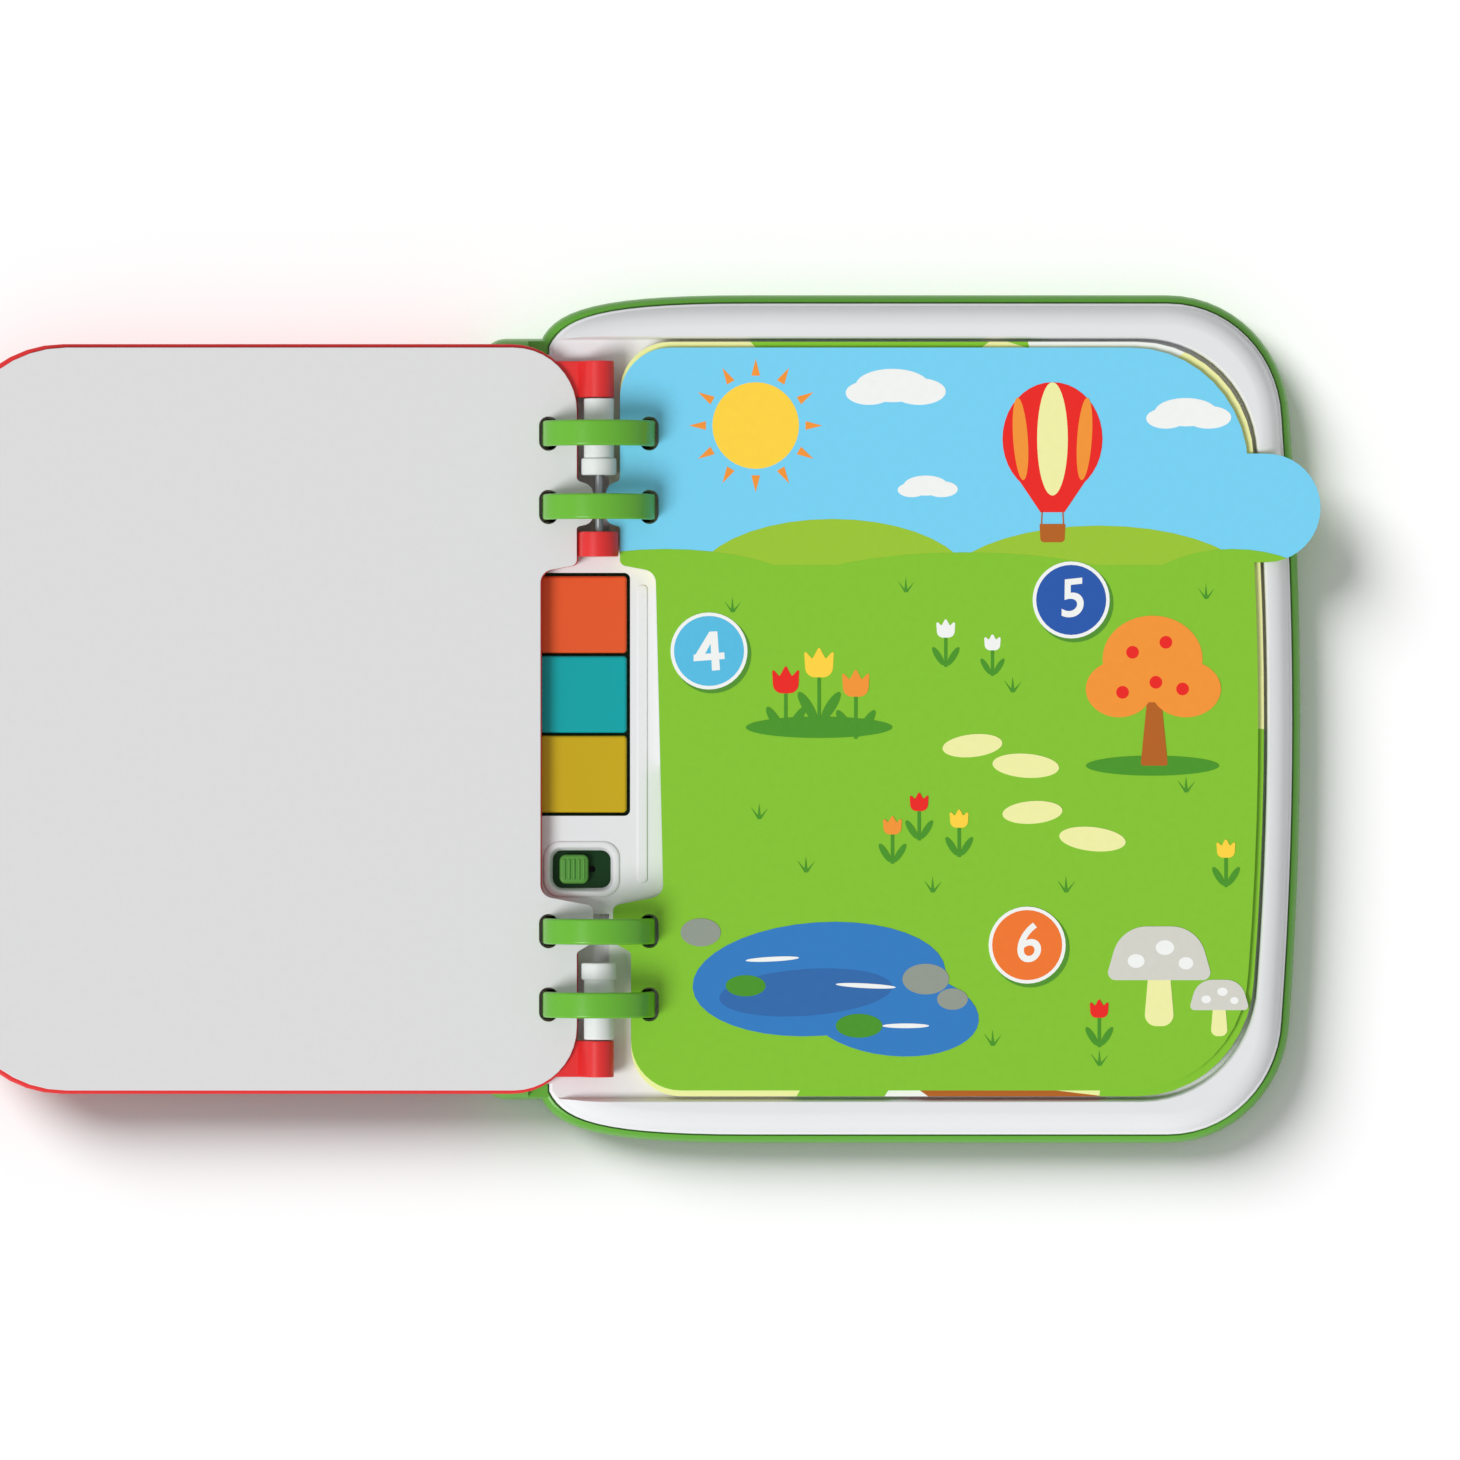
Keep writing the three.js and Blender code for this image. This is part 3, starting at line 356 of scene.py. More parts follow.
def moulded(name, colour, roughness=0.38, grain=0.5, depth=0.03, mottle=0.03, shine=0.3):
    """Injection-moulded plastic: faint flow clouds, and a grain (size in mm) coarse enough to show."""
    material = bpy.data.materials.new(name)
    material.use_nodes = True
    tree = material.node_tree
    surface = tree.nodes["Principled BSDF"]
    surface.inputs["IOR"].default_value = 1.53
    surface.inputs["Specular IOR Level"].default_value = shine
    place = add_node(tree, "ShaderNodeTexCoord").outputs["Object"]
    flow = add_node(tree, "ShaderNodeTexNoise", {"Scale": 28.0, "Detail": 3.0}, {"Vector": place})
    skin = add_node(tree, "ShaderNodeTexNoise", {"Scale": 1 / (grain * mm), "Detail": 2.0},
                    {"Vector": place})
    base = linear(colour)
    tint = add_node(tree, "ShaderNodeMix", {"data_type": "RGBA"}, {0: flow.outputs[0]})
    tint.inputs[6].default_value = tuple(c * (1 - mottle * 2) for c in base[:3]) + (1,)
    tint.inputs[7].default_value = tuple(min(1, c * (1 + mottle)) for c in base[:3]) + (1,)
    rough = add_node(tree, "ShaderNodeMapRange", {"To Min": roughness - 0.05, "To Max": roughness + 0.07},
                     {"Value": skin.outputs[0]})
    relief = add_node(tree, "ShaderNodeBump", {"Strength": 0.35, "Distance": depth * mm},
                      {"Height": skin.outputs[0]})
    tree.links.new(tint.outputs[2], surface.inputs["Base Color"])
    tree.links.new(rough.outputs[0], surface.inputs["Roughness"])
    tree.links.new(relief.outputs[0], surface.inputs["Normal"])
    return material


def shell_loop(inset=0.0):
    """The housing's outline: bulged fore-edge, straight ends and soft shoulders towards the spine."""
    half = shell_half - inset
    right = fore_edge(shell_right - inset, half, shell_corner - inset, shell_bulge)
    start = Vector((shoulder_start, half, 0))
    end = Vector((shoulder_x + inset, shoulder_y - inset * 0.6, 0))
    lean = end + Vector((4.3, half - end.y - 4.1, 0))
    down = Vector((1, -1, 1))
    knots = [
        (start, start, Vector((0, half, 0))),
        (end, lean, end),
        (end * down, end * down, lean * down),
        (start * down, Vector((0, -half, 0)), start * down),
    ]
    return [*right, *knots]


green_abs = moulded("green_glossy_abs", "#5ba32f", 0.3, 0.6, 0.015)
shell_up = [(0.08, 10.5), (0.4, 12.5), (1.0, 13.8), (1.6, 14.5), (2.2, 14.85), (2.8, shell_top)]
shell_down = [(0.15, 6.2), (0.6, 4.6), (1.3, 3.1), (2.2, 1.9), (3.2, 0.9), (4.2, 0.25), (5.0, 0.0)]
spine_up = [(0.15, 11), (0.6, 13.9), (1.2, 15.5), (2.1, 16.9), (3.2, 17.8), (4.4, spine_top)]
well_radius, head_radius, shank_radius = 4.8, 3.2, 1.6
screw_spots = [(x, y * side) for x, y in ((30, 100), (112, 104), (184, 86)) for side in (1, -1)]
speaker_x, speaker_y, speaker_radius = 62.0, -64.0, 20.0
slot_pitch, slot_reach, slot_half = 4.4, 15.0, 1.0
bay_x, bay_half_x, bay_half_y, bay_wall, bay_ceiling = 105.0, 23.75, 16.75, 1.3, 13.5
door_screw_x = bay_x + bay_half_x + 5.5
gap_inset, gap_floor = 2.3, 13.9

skin = climbed(shell_loop(), widest_z, shell_up, shell_down)
spine_loop = rectangle(spine_left, spine_right, -spine_half, spine_half, spine_corner)
spine_skin = climbed(spine_loop, widest_z, spine_up, shell_down)
tray_seat = box_mesh(-21.3, 80, -120, 120, shell_top, 24)
spine_skin = cut(spine_skin, [tray_seat])
room = climbed(shell_loop(wall), widest_z, [(2.2, 16)], [(3.0, 3.2), (5.0, wall)])
room_loop = rectangle(spine_left + wall, spine_right + 4, wall - spine_half, spine_half - wall,
                      spine_corner - 2)
spine_room = climbed(room_loop, widest_z, [(0.8, 14), (2.2, spine_top - wall)], [(2.0, 3.4), (4.0, wall)])
shell = cut(cut(skin, [spine_skin], "UNION"), [room, spine_room])
bay = box_mesh(bay_x - bay_half_x - bay_wall, bay_x + bay_half_x + bay_wall, -bay_half_y - bay_wall,
               bay_half_y + bay_wall, 0.2, bay_ceiling + bay_wall)
boss = rod_mesh(3.6, 1, 9, (door_screw_x, 0))
fence = rod_mesh(speaker_radius + 1.9, wall - 0.5, wall + 3.5, (speaker_x, speaker_y), segments=64)
wells = [rod_mesh(well_radius, 1.3, 8.8, spot, segments=32) for spot in screw_spots]
posts = [rod_mesh(2.5, 1.3, 7.0, (x, y), segments=24) for x in (-13, 8) for y in (-49, 40)]
pad_spans = ((109.6, 113.4), (-113.4, -109.6))
corner_pads = [box_mesh(-21.5, -14, low, high, 9, 15.1) for low, high in pad_spans]
shell = cut(shell, [bay, boss, fence, *wells, *posts, *corner_pads], "UNION")

slots = []
for i in range(-3, 4):
    x = speaker_x + i * slot_pitch
    reach = math.sqrt(slot_reach ** 2 - (i * slot_pitch) ** 2)
    slot_loop = rectangle(x - slot_half, x + slot_half, speaker_y - reach, speaker_y + reach, 0.95)
    slots.append(slab([slot_loop], -1, wall + 1, steps=5))
bores = [rod_mesh(head_radius, -1, 6.2, spot, segments=32) for spot in screw_spots]
shanks = [rod_mesh(shank_radius, 5, 12, spot, segments=20) for spot in screw_spots]
inside_fence = rod_mesh(speaker_radius + 0.3, wall, wall + 5, (speaker_x, speaker_y), segments=64)
bay_room = box_mesh(bay_x - bay_half_x, bay_x + bay_half_x, -bay_half_y, bay_half_y, -1, bay_ceiling)
tab_room = box_mesh(bay_x + bay_half_x - 1, bay_x + bay_half_x + 9.3, -4.8, 4.8, -1, 2.4)
door_bore = rod_mesh(1.3, -1, 8, (door_screw_x, 0), segments=20)
rooms = [inside_fence, bay_room, tab_room, door_bore]
shell = cut(shell, [merged(slots), merged(bores), merged(shanks), *rooms])
shadow_gap = climbed(shell_loop(gap_inset), gap_floor, [(0.0, 15.6)])
shell = cut(shell, [shadow_gap])
finish("green_housing", shell, [green_abs], "base", ["base_shell"])


# White upper moulding
# White ABS with a soft satin grain. Its crowned rim falls to a thin lip above the green housing.
# Page pocket, key panel, switch bezel and the hinge's barrels and troughs are all one piece with it.
tray_inset, tray_left, floor_z, floor_under = 2.8, -15.9, 17.8, 15.8
pocket_right, pocket_half = 202.0, 115.7
hinge_z, barrel_radius, collar_radius, pin_hole_radius = 24.0, 4.5, 5.25, 1.55
trough_radius, trough_right, trough_wall = 12.8, 4.8, 1.8
trough_spans = ((47.7, 108.9), (-108.9, -56.7))
key_left, key_right, key_top_y, key_height, key_gap = -18.0, 8.3, 42.9, 23.1, 0.85
panel_gap = 1.0
recess = {"left": -13.4, "right": 2.8, "low": -50.1, "high": -40.1}
ring_rows = [85.6, 63.6, -63.6, -85.6]

white_abs = moulded("white_satin_abs", "#e3e4e6", 0.42, 0.55, 0.02, 0.012)


def recess_loop(grow):
    """The switch bezel's rounded outline."""
    return rectangle(recess["left"] - grow, recess["right"] + grow, recess["low"] - grow,
                     recess["high"] + grow, 3.1 + grow * 0.6)


def side_form(loop, low, high, edge=0.0, steps=10):
    """A solid whose outline lies in X and Z, drawn out along Y."""
    mesh = flat_mesh([loop], high - low, edge, steps)
    mesh.transform(Matrix.Translation((0, (low + high) / 2, 0)) @ Matrix.Rotation(math.pi / 2, 4, "X"))
    return mesh


def trough_loop(inset):
    """The trough under the knuckles, in X and Z: round at the left, upright at the right."""
    radius = trough_radius - inset
    right = trough_right - inset
    top = floor_z + (1 if inset else 0)
    start = math.pi + math.asin((hinge_z - top) / radius)
    end = 1.5 * math.pi + math.asin(right / radius)
    turns = 10
    loop = []
    for i in range(turns + 1):
        a = start + (end - start) * i / turns
        here = Vector((radius * math.cos(a), hinge_z + radius * math.sin(a), 0))
        loop.append((here, here, here))
    corner = Vector((right, top, 0))
    loop.append((corner, corner, corner))
    return loop


crown_up = [(0.0, 16.25), (0.12, 16.45), (0.35, 16.6), (0.7, 16.7), (0.95, 17.0), (1.25, 17.8),
            (1.65, 18.7), (2.2, 19.6), (2.9, 20.35), (3.7, 20.95), (4.7, 21.4), (5.8, 21.72), (7.0, 21.9)]
crown = climbed(shell_loop(tray_inset), 15.2, crown_up)
pocket_loop = [*fore_edge(pocket_right, pocket_half, 36, 3),
               *rounded([(-50, pocket_half, 0), (-50, -pocket_half, 0)])]
pocket = climbed(pocket_loop, 22.6, [(0.0, 24)], [(0.5, 22.1), (0.95, 21.75), (1.3, 21.3), (1.5, 20.6),
                                                 (1.6, 18.4), (1.8, 18.0), (2.1, floor_z)])
trim = box_mesh(-60, tray_left, -130, 130, 0, 40)
under = climbed(shell_loop(tray_inset + 2.2), 10, [(0.0, floor_under)])
tray = cut(crown, [pocket, trim, under])
lip = box_mesh(-21, 0, -109.5, 109.5, floor_under, floor_z)
troughs = []
trough_rooms = []
for low, high in trough_spans:
    troughs.append(side_form(trough_loop(0), low, high))
    trough_rooms.append(side_form(trough_loop(trough_wall), low + trough_wall, high - trough_wall))
bezel_up = [(0.0, 17.95), (0.12, 18.15), (0.4, 18.32), (0.9, 18.4), (1.5, 18.4)]
bezel = climbed(recess_loop(3.4), 16.8, bezel_up)
rib = slab([rectangle(11.45, 14.55, -49.3, 40.3, 1.4)], 17.0, 18.25, 0.4)
bosses = [rod_mesh(3.6, 9.1, 16.3, spot, segments=32) for spot in screw_spots]
tray = cut(tray, [lip, *troughs, *bosses], "UNION")
tray = cut(tray, trough_rooms)
tray = cut(tray, [bezel, rib], "UNION")

barrel_span, collar_span, neck_span = (78.0, 96.15), (73.1, 78.2), (73.4, 95.9)
neck = rounded([(-1.5, 12.8, 0), (4, 12.8, 0), (4.5, 16.8, 0), (4.5, hinge_z, 0), (-1.5, hinge_z, 0)])
barrels = []
for side in (1, -1):
    along = [sorted((side * low, side * high)) for low, high in (barrel_span, collar_span, neck_span)]
    barrels.append(rod_mesh(barrel_radius, *along[0], (0, hinge_z), True, 0.45))
    barrels.append(rod_mesh(collar_radius, *along[1], (0, hinge_z), True, 0.5))
    barrels.append(side_form(neck, *along[2]))
tray = cut(tray, barrels, "UNION")


def hoop_mesh(y, outer, inner, width, edge, steps=96):
    """A flat hoop round the hinge line: its section is turned once round the axis."""
    bm = bmesh.new()
    corners = [(inner, -width / 2), (outer, -width / 2), (outer, width / 2), (inner, width / 2)]
    verts = [bm.verts.new((r, y + w, hinge_z)) for r, w in corners]
    bm.faces.new(verts)
    if edge > 0:
        bmesh.ops.bevel(bm, geom=verts, offset=edge, segments=4, affect="VERTICES", profile=0.5,
                        material=-1)
    bmesh.ops.delete(bm, geom=[bm.faces[:][0]], context="FACES_ONLY")
    bmesh.ops.spin(bm, geom=bm.verts[:] + bm.edges[:], cent=(0, y, hinge_z), axis=(0, 1, 0),
                   angle=2 * math.pi, steps=steps, use_merge=True)
    bmesh.ops.remove_doubles(bm, verts=bm.verts, dist=0.002)
    bmesh.ops.recalc_face_normals(bm, faces=bm.faces)
    mesh = bpy.data.meshes.new("hoop")
    bm.to_mesh(mesh)
    bm.free()
    return mesh


ring_rooms = [hoop_mesh(y, 17.5, 14.1, 9.0, 0) for y in ring_rows]
low_key = key_top_y - 3 * key_height - 2 * key_gap
window = slab([rectangle(key_left - panel_gap, key_right + panel_gap, low_key - panel_gap,
                         key_top_y + panel_gap, 1.8)], 14, 20)
funnel = climbed(recess_loop(2.1), 18.7, [(0.0, 19)],
                 [(0.3, 18.35), (0.6, 18.1), (0.85, 17.5), (1.3, 16.2), (2.1, 14)])
pin_room = rod_mesh(pin_hole_radius, -107.4, 107.4, (0, hinge_z), True, segments=24)
tray = cut(tray, [merged(ring_rooms), window, funnel, pin_room])
finish("white_tray", tray, [white_abs], "base", ["tray"])


# Red front cover
# A red polypropylene plate, blank inside, with moulded arms that end in three hinge knuckles.
# Its edges are rounded, and the ring slots go right through. Steel pins hold it to the tray.
leaf_half, leaf_right, leaf_corner, leaf_bulge = 111.4, 197.7, 35.0, 3.0
turned_edge = {"upper": 6.6, "lower": 6.6, "tongue": 1.7, "low_tongue": 1.7, "bite": 17.5, "foot": 17.5}
cover_low, cover_high = 18.5, 22.0
red_pp = moulded("red_satin_polypropylene", "#dd2a2b", 0.36, 0.7, 0.02)


def leaf_loop(edge, grow, corner):
    """A leaf's outline: its fore-edge, then down the spine round the key panel and the ring tongues."""
    half = leaf_half + grow
    spine_side = [
        (edge["upper"], half, corner), (edge["upper"], 71.5, 1.5), (edge["tongue"], 70, 3.5),
        (edge["tongue"], 58.8, 3), (edge["upper"], 57.6, 1), (edge["upper"], 46.2, 1.9),
        (edge["bite"], 44.2, 4), (edge["foot"], -53, 4), (edge["low_tongue"], -56, 2),
        (edge["low_tongue"], -67, 3.5), (edge["lower"], -70, 1.5), (edge["lower"], -half, corner)]
    outer = fore_edge(leaf_right + grow, half, leaf_corner, leaf_bulge)
    ends = [(outer[-1][0].x, half, 0), *spine_side, (outer[0][0].x, -half, 0)]
    return [*outer, *rounded(ends)[1:-1]]


def flipped(loop):
    """The outline mirrored to the other side of the spine."""
    flip = Vector((-1, 1, 1))
    return [(here * flip, after * flip, before * flip) for here, before, after in reversed(loop)]


def hole_loops(grow):
    """The rounded ring holes of a leaf."""
    left, right, half = 12.3 - grow, 17.9 + grow, 5.1 + grow
    return [rectangle(left, right, y - half, y + half, 2.75) for y in ring_rows]


def knuckle_loop(radius):
    """The cover's arm and barrel in X and Z."""
    start, end, turns = math.radians(-85), math.radians(155), 24
    inside = 0.03
    loop = [(Vector((x, z, 0)),) * 3 for x, z in ((-14, cover_low + inside), (-1.2, hinge_z - radius))]
    for i in range(turns + 1):
        a = start + (end - start) * i / turns
        loop.append((Vector((radius * math.cos(a), hinge_z + radius * math.sin(a), 0)),) * 3)
    loop += [(Vector((x, cover_high - inside, 0)),) * 3 for x in (-6.3, -14)]
    return loop


cover_edge = {key: value - 0.35 for key, value in turned_edge.items()}
cover_edge["tongue"] = cover_edge["low_tongue"] = turned_edge["upper"]
cover = slab([flipped(leaf_loop(cover_edge, 1.1, 20)), *[flipped(h) for h in hole_loops(0.3)]],
             cover_low, cover_high, 0.7)
knuckle_sizes = ((barrel_radius, 96.45, 107.4), (5.85, 48.7, 56.2), (barrel_radius, -107.4, -96.45))
knuckles = [side_form(knuckle_loop(r), low, high, 0.35, steps=1) for r, low, high in knuckle_sizes]
cover = cut(cover, knuckles, "UNION")
bore = rod_mesh(pin_hole_radius, -106.4, 106.4, (0, hinge_z), True, segments=24)
cover = cut(cover, [bore])
finish("red_cover", cover, [red_pp], "cover", ["front_cover"])


# Leaves
# Thick greyboard laminated with coated paper: a smooth semi-gloss face and a paler fibrous cut edge.
# The turned leaf is blank light grey; the others lie in the pocket and carry the print.
leaf_low, leaf_high, leaf_pitch, leaf_thickness = 22.3, 23.7, 1.4, 1.35
turned_round, lower_round = 0.18, 0.12
page_edge = {"upper": 6.3, "lower": 9.6, "tongue": 2.1, "low_tongue": 4.2, "bite": 17.0, "foot": 19.3}
tab_x, tab_y, tab_radius = 200.1, 63.3, 16.3


def coated(name, colour, gloss=0.34, mottle=0.02):
    """Coated paper on board: even ink with faint mottle, and a skin that is slightly wavy."""
    material = bpy.data.materials.new(name)
    material.use_nodes = True
    tree = material.node_tree
    surface = tree.nodes["Principled BSDF"]
    surface.inputs["IOR"].default_value = 1.46
    surface.inputs["Specular IOR Level"].default_value = 0.25
    place = add_node(tree, "ShaderNodeTexCoord").outputs["Object"]
    ink = add_node(tree, "ShaderNodeTexNoise", {"Scale": 420.0, "Detail": 4.0}, {"Vector": place})
    wave = add_node(tree, "ShaderNodeTexNoise", {"Scale": 60.0, "Detail": 2.0}, {"Vector": place})
    base = linear(colour)
    tint = add_node(tree, "ShaderNodeMix", {"data_type": "RGBA"}, {0: ink.outputs[0]})
    tint.inputs[6].default_value = tuple(c * (1 - 2 * mottle) for c in base[:3]) + (1,)
    tint.inputs[7].default_value = tuple(min(1, c * (1 + mottle)) for c in base[:3]) + (1,)
    rough = add_node(tree, "ShaderNodeMapRange", {"To Min": gloss - 0.04, "To Max": gloss + 0.08},
                     {"Value": ink.outputs[0]})
    relief = add_node(tree, "ShaderNodeBump", {"Strength": 0.2, "Distance": 0.06 * mm},
                      {"Height": wave.outputs[0]})
    tree.links.new(tint.outputs[2], surface.inputs["Base Color"])
    tree.links.new(rough.outputs[0], surface.inputs["Roughness"])
    tree.links.new(relief.outputs[0], surface.inputs["Normal"])
    return material


def board_edge(name, colour):
    """The cut edge of the board: matt, with fibres a few tenths of a millimetre thick along it."""
    material = coated(name, colour, 0.75, 0.03)
    tree = material.node_tree
    surface = tree.nodes["Principled BSDF"]
    place = add_node(tree, "ShaderNodeTexCoord").outputs["Object"]
    layers = add_node(tree, "ShaderNodeMapping", {"Scale": (300, 300, 5000)}, {"Vector": place})
    fibre = add_node(tree, "ShaderNodeTexNoise", {"Scale": 1.0, "Detail": 3.0},
                     {"Vector": layers.outputs[0]})
    relief = add_node(tree, "ShaderNodeBump", {"Strength": 0.5, "Distance": 0.1 * mm},
                      {"Height": fibre.outputs[0]})
    tree.links.new(relief.outputs[0], surface.inputs["Normal"])
    return material


def faced(mesh):
    """Gives the cut edges of a leaf the second finish."""
    for polygon in mesh.polygons:
        polygon.material_index = 0 if abs(polygon.normal.z) > 0.8 else 1
    return mesh


blank_paper = coated("blank_grey_coated_board", "#dcdcdd", 0.4, 0.012)
# The slight pink in the cut edge's colour is a painted reflection of light from the red cover; the pale
# tone itself is the board's core.
edge_with_painted_red_bounce = board_edge("cut_board_edge", "#e6dcd8")
turned_loops = [flipped(leaf_loop(turned_edge, 0, 19)), *[flipped(h) for h in hole_loops(0)]]
leaf = slab(turned_loops, leaf_low, leaf_high, turned_round)
finish("turned_board_leaf", faced(leaf), [blank_paper, edge_with_painted_red_bounce], "cover", ["turned_leaf"])

print_colours = {
    "meadow": "#83c22f", "sky": "#77d1f3", "hill": "#99c432", "tuft": "#469224", "red": "#e9241e",
    "yellow": "#ffd442", "orange": "#f39536", "brown": "#b2601d", "cream": "#f1f0a8", "water": "#307ac0",
    "deep_water": "#2e67a8", "stone": "#91998f", "white": "#f3f5f2", "pale": "#d4d3ca",
    "blue_disc": "#56bce1", "dark_disc": "#2456a9", "orange_disc": "#ef762d", "shade": "#4f8f2a",
}
inks = {name: coated("ink_" + name, colour) for name, colour in print_colours.items()}


def lower_print():
    """What shows of the leaves below: their prints meet the edge in fields a few centimetres long."""
    material = coated("lower_leaf_print", "#83c22f")
    tree = material.node_tree
    surface = tree.nodes["Principled BSDF"]
    place = add_node(tree, "ShaderNodeTexCoord").outputs["Object"]
    fields = add_node(tree, "ShaderNodeTexVoronoi", {"Scale": 16.0}, {"Vector": place})
    pick = add_node(tree, "ShaderNodeSeparateColor", links={0: fields.outputs["Color"]})
    ramp = add_node(tree, "ShaderNodeValToRGB", links={0: pick.outputs[0]})
    ramp.color_ramp.interpolation = "CONSTANT"
    stops = ramp.color_ramp.elements
    stops[0].color = linear(print_colours["meadow"])
    stops[1].position = 0.3
    stops[1].color = linear(print_colours["cream"])
    for position, ink in ((0.5, "white"), (0.66, "hill"), (0.8, "brown"), (0.88, "cream")):
        stop = stops.new(position)
        stop.color = linear(print_colours[ink])
    tree.links.new(ramp.outputs[0], surface.inputs["Base Color"])
    return material


def tab_loop(radius):
    """The round tab and its neck, which reaches into the leaf."""
    low = tab_y - radius
    high = tab_y + radius
    end = tab_x + radius
    return rounded([(188, low, 0), (end, low, radius - 0.02), (end, high, radius - 0.02), (188, high, 0)])


holes = hole_loops(0)
top_leaf = slab([leaf_loop(page_edge, 0, 15), *holes], leaf_low, leaf_high)
tab = slab([tab_loop(tab_radius)], leaf_low + 0.01, leaf_high - 0.01)
top_leaf = cut(top_leaf, [tab], "UNION")
lower_leaves = []
for i in range(1, 4):
    high = leaf_high - i * leaf_pitch - 0.05
    grow = 1.8 if i % 2 else 1.45
    loops = [leaf_loop(page_edge, grow, 15), *holes]
    lower_leaves.append(slab(loops, high - leaf_thickness, high, lower_round))
finish("page_top_leaf", faced(top_leaf), [inks["meadow"], edge_with_painted_red_bounce], "base", ["page_block"])
finish("page_lower_leaves", faced(merged(lower_leaves)), [lower_print(), edge_with_painted_red_bounce], "base",
       ["page_block"])


# Print on the top leaf
# A generic landscape in flat inks, with plain numbers on the three discs that mark the touch spots.
# Each field is a film of ink, drawn a little thicker than real so that the layers stay apart.
ink_step = 0.03
ink_margin = 0.02
page_form = slab([leaf_loop(page_edge, -ink_margin, 15), *holes], leaf_high - 0.4, leaf_high + 1.0)
tab_form = slab([tab_loop(tab_radius - ink_margin)], leaf_high - 0.5, leaf_high + 1.1)
page_form = cut(page_form, [tab_form], "UNION")
print_count = 0


def printed(ink, layer, loops, clip=False):
    """A field of one ink, its layer counted from the board; clip trims it at the leaf's edge."""
    global print_count
    print_count += 1
    films = []
    for i, loop in enumerate(loops):
        # Films of one field that overlap differ a little in height.
        top = leaf_high + layer * ink_step + i * ink_step / 15
        film = slab([loop], leaf_high - 0.1, top, steps=10)
        films.append(cut(film, [page_form.copy()], "INTERSECT") if clip else film)
    finish("print_%02d_%s" % (print_count, ink), merged(films), [inks[ink]], "base")


def straight(*corners):
    """A loop with straight sides."""
    return rounded([(x, y, 0) for x, y in corners])


def oval(x, y, rx, ry, turn=0.0):
    """An ellipse, turned by some degrees."""
    loop = []
    for quarter in range(4):
        a = quarter * math.pi / 2
        here = Vector((rx * math.cos(a), ry * math.sin(a), 0))
        grip = Vector((-rx * math.sin(a), ry * math.cos(a), 0)) * 0.5523
        loop.append((here, here - grip, here + grip))
    spin = Matrix.Rotation(math.radians(turn), 3, "Z")
    centre = Vector((x, y, 0))
    return [tuple(spin @ p + centre for p in knot) for knot in loop]


printed("sky", 1, [straight((-10, 130), (-10, 46), (230, 46), (230, 130))], clip=True)
printed("hill", 2, [oval(70, 40, 42, 20), oval(150, 38, 48, 20)], clip=True)
printed("meadow", 3, [oval(110, 34, 60, 16), oval(20, 36, 44, 15), oval(190, 34, 30, 17),
                      straight((-10, 46.2), (-10, 12), (230, 12), (230, 46.2))], clip=True)
printed("yellow", 2, [oval(47, 88, 13, 13)])
rays = []
for i in range(12):
    corners = [(math.radians(i * 30 + turn), reach) for turn, reach in ((-5, 15), (0, 20), (5, 15))]
    rays.append(straight(*[(47 + reach * math.cos(a), 88 + reach * math.sin(a)) for a, reach in corners]))
printed("orange", 2, rays)
clouds = []
for x, y, size in ((88, 100, 1.0), (176, 92, 0.85), (98, 70, 0.6)):
    clouds += [oval(x, y, 11 * size, 5 * size), oval(x - 7 * size, y - 2.2 * size, 7 * size, 3.6 * size),
               oval(x + 8 * size, y - 1.8 * size, 8 * size, 4 * size)]
for level, cloud in enumerate(clouds):
    printed("white", 2 + level % 3 * 0.34, [cloud])


def balloon(x, y):
    """A striped hot-air balloon with its basket."""
    printed("red", 4, [
        oval(x, y, 15, 17),
        straight((x - 11, y - 11), (x - 3.6, y - 22), (x + 3.6, y - 22), (x + 11, y - 11))])
    printed("cream", 5, [oval(x, y, 4.6, 17)])
    printed("orange", 5, [oval(x - 9.6, y, 2.2, 12.4, 4), oval(x + 9.6, y, 2.2, 12.4, -4)])
    printed("brown", 4, [
        rounded([(x - 3.6, y - 31, 1.2), (x + 3.6, y - 31, 1.2),
                 (x + 3.9, y - 25.5, 0.4), (x - 3.9, y - 25.5, 0.4)]),
        straight((x - 3.5, y - 25.6), (x - 3.1, y - 25.6), (x - 2.9, y - 21.8), (x - 3.3, y - 21.8)),
        straight((x + 3.1, y - 25.6), (x + 3.5, y - 25.6), (x + 3.3, y - 21.8), (x + 2.9, y - 21.8))])


balloon(136, 84)
printed("tuft", 4, [oval(66, -2.5, 22, 3.2), oval(166, -14, 20, 3.0)])
printed("brown", 5, [rounded([(162.4, -14, 0.8), (170.6, -14, 0.8), (168.4, 8, 0.5), (164.6, 8, 0.5)])])
printed("orange", 6, [oval(166, 18, 15, 13), oval(156, 9, 10, 8.5), oval(176, 9, 10.5, 8.5)])
apples = ((160, 20), (170, 23), (175, 9), (157, 8), (167, 11))
printed("red", 7, [oval(x, y, 1.9, 1.9) for x, y in apples])


def tulip(x, y, ink, s):
    """A simple cup-shaped flower, s times the common size, on a stem with two leaves."""
    printed("tuft", 5, [
        straight((x - 0.5, y - 13 * s), (x + 0.5, y - 13 * s), (x + 0.5, y), (x - 0.5, y)),
        oval(x - 2.8 * s, y - 9 * s, 1.2 * s, 4 * s, 32),
        oval(x + 2.8 * s, y - 9 * s, 1.2 * s, 4 * s, -32)])
    printed(ink, 6, [rounded([
        (x - 3.6 * s, y + 4.6 * s, 0.4), (x - 3.2 * s, y - 2 * s, 2.4 * s),
        (x + 3.2 * s, y - 2 * s, 2.4 * s), (x + 3.6 * s, y + 4.6 * s, 0.4),
        (x + 1.6 * s, y + 2.4 * s, 0.3), (x, y + 5.4 * s, 0.4), (x - 1.6 * s, y + 2.4 * s, 0.3)])])


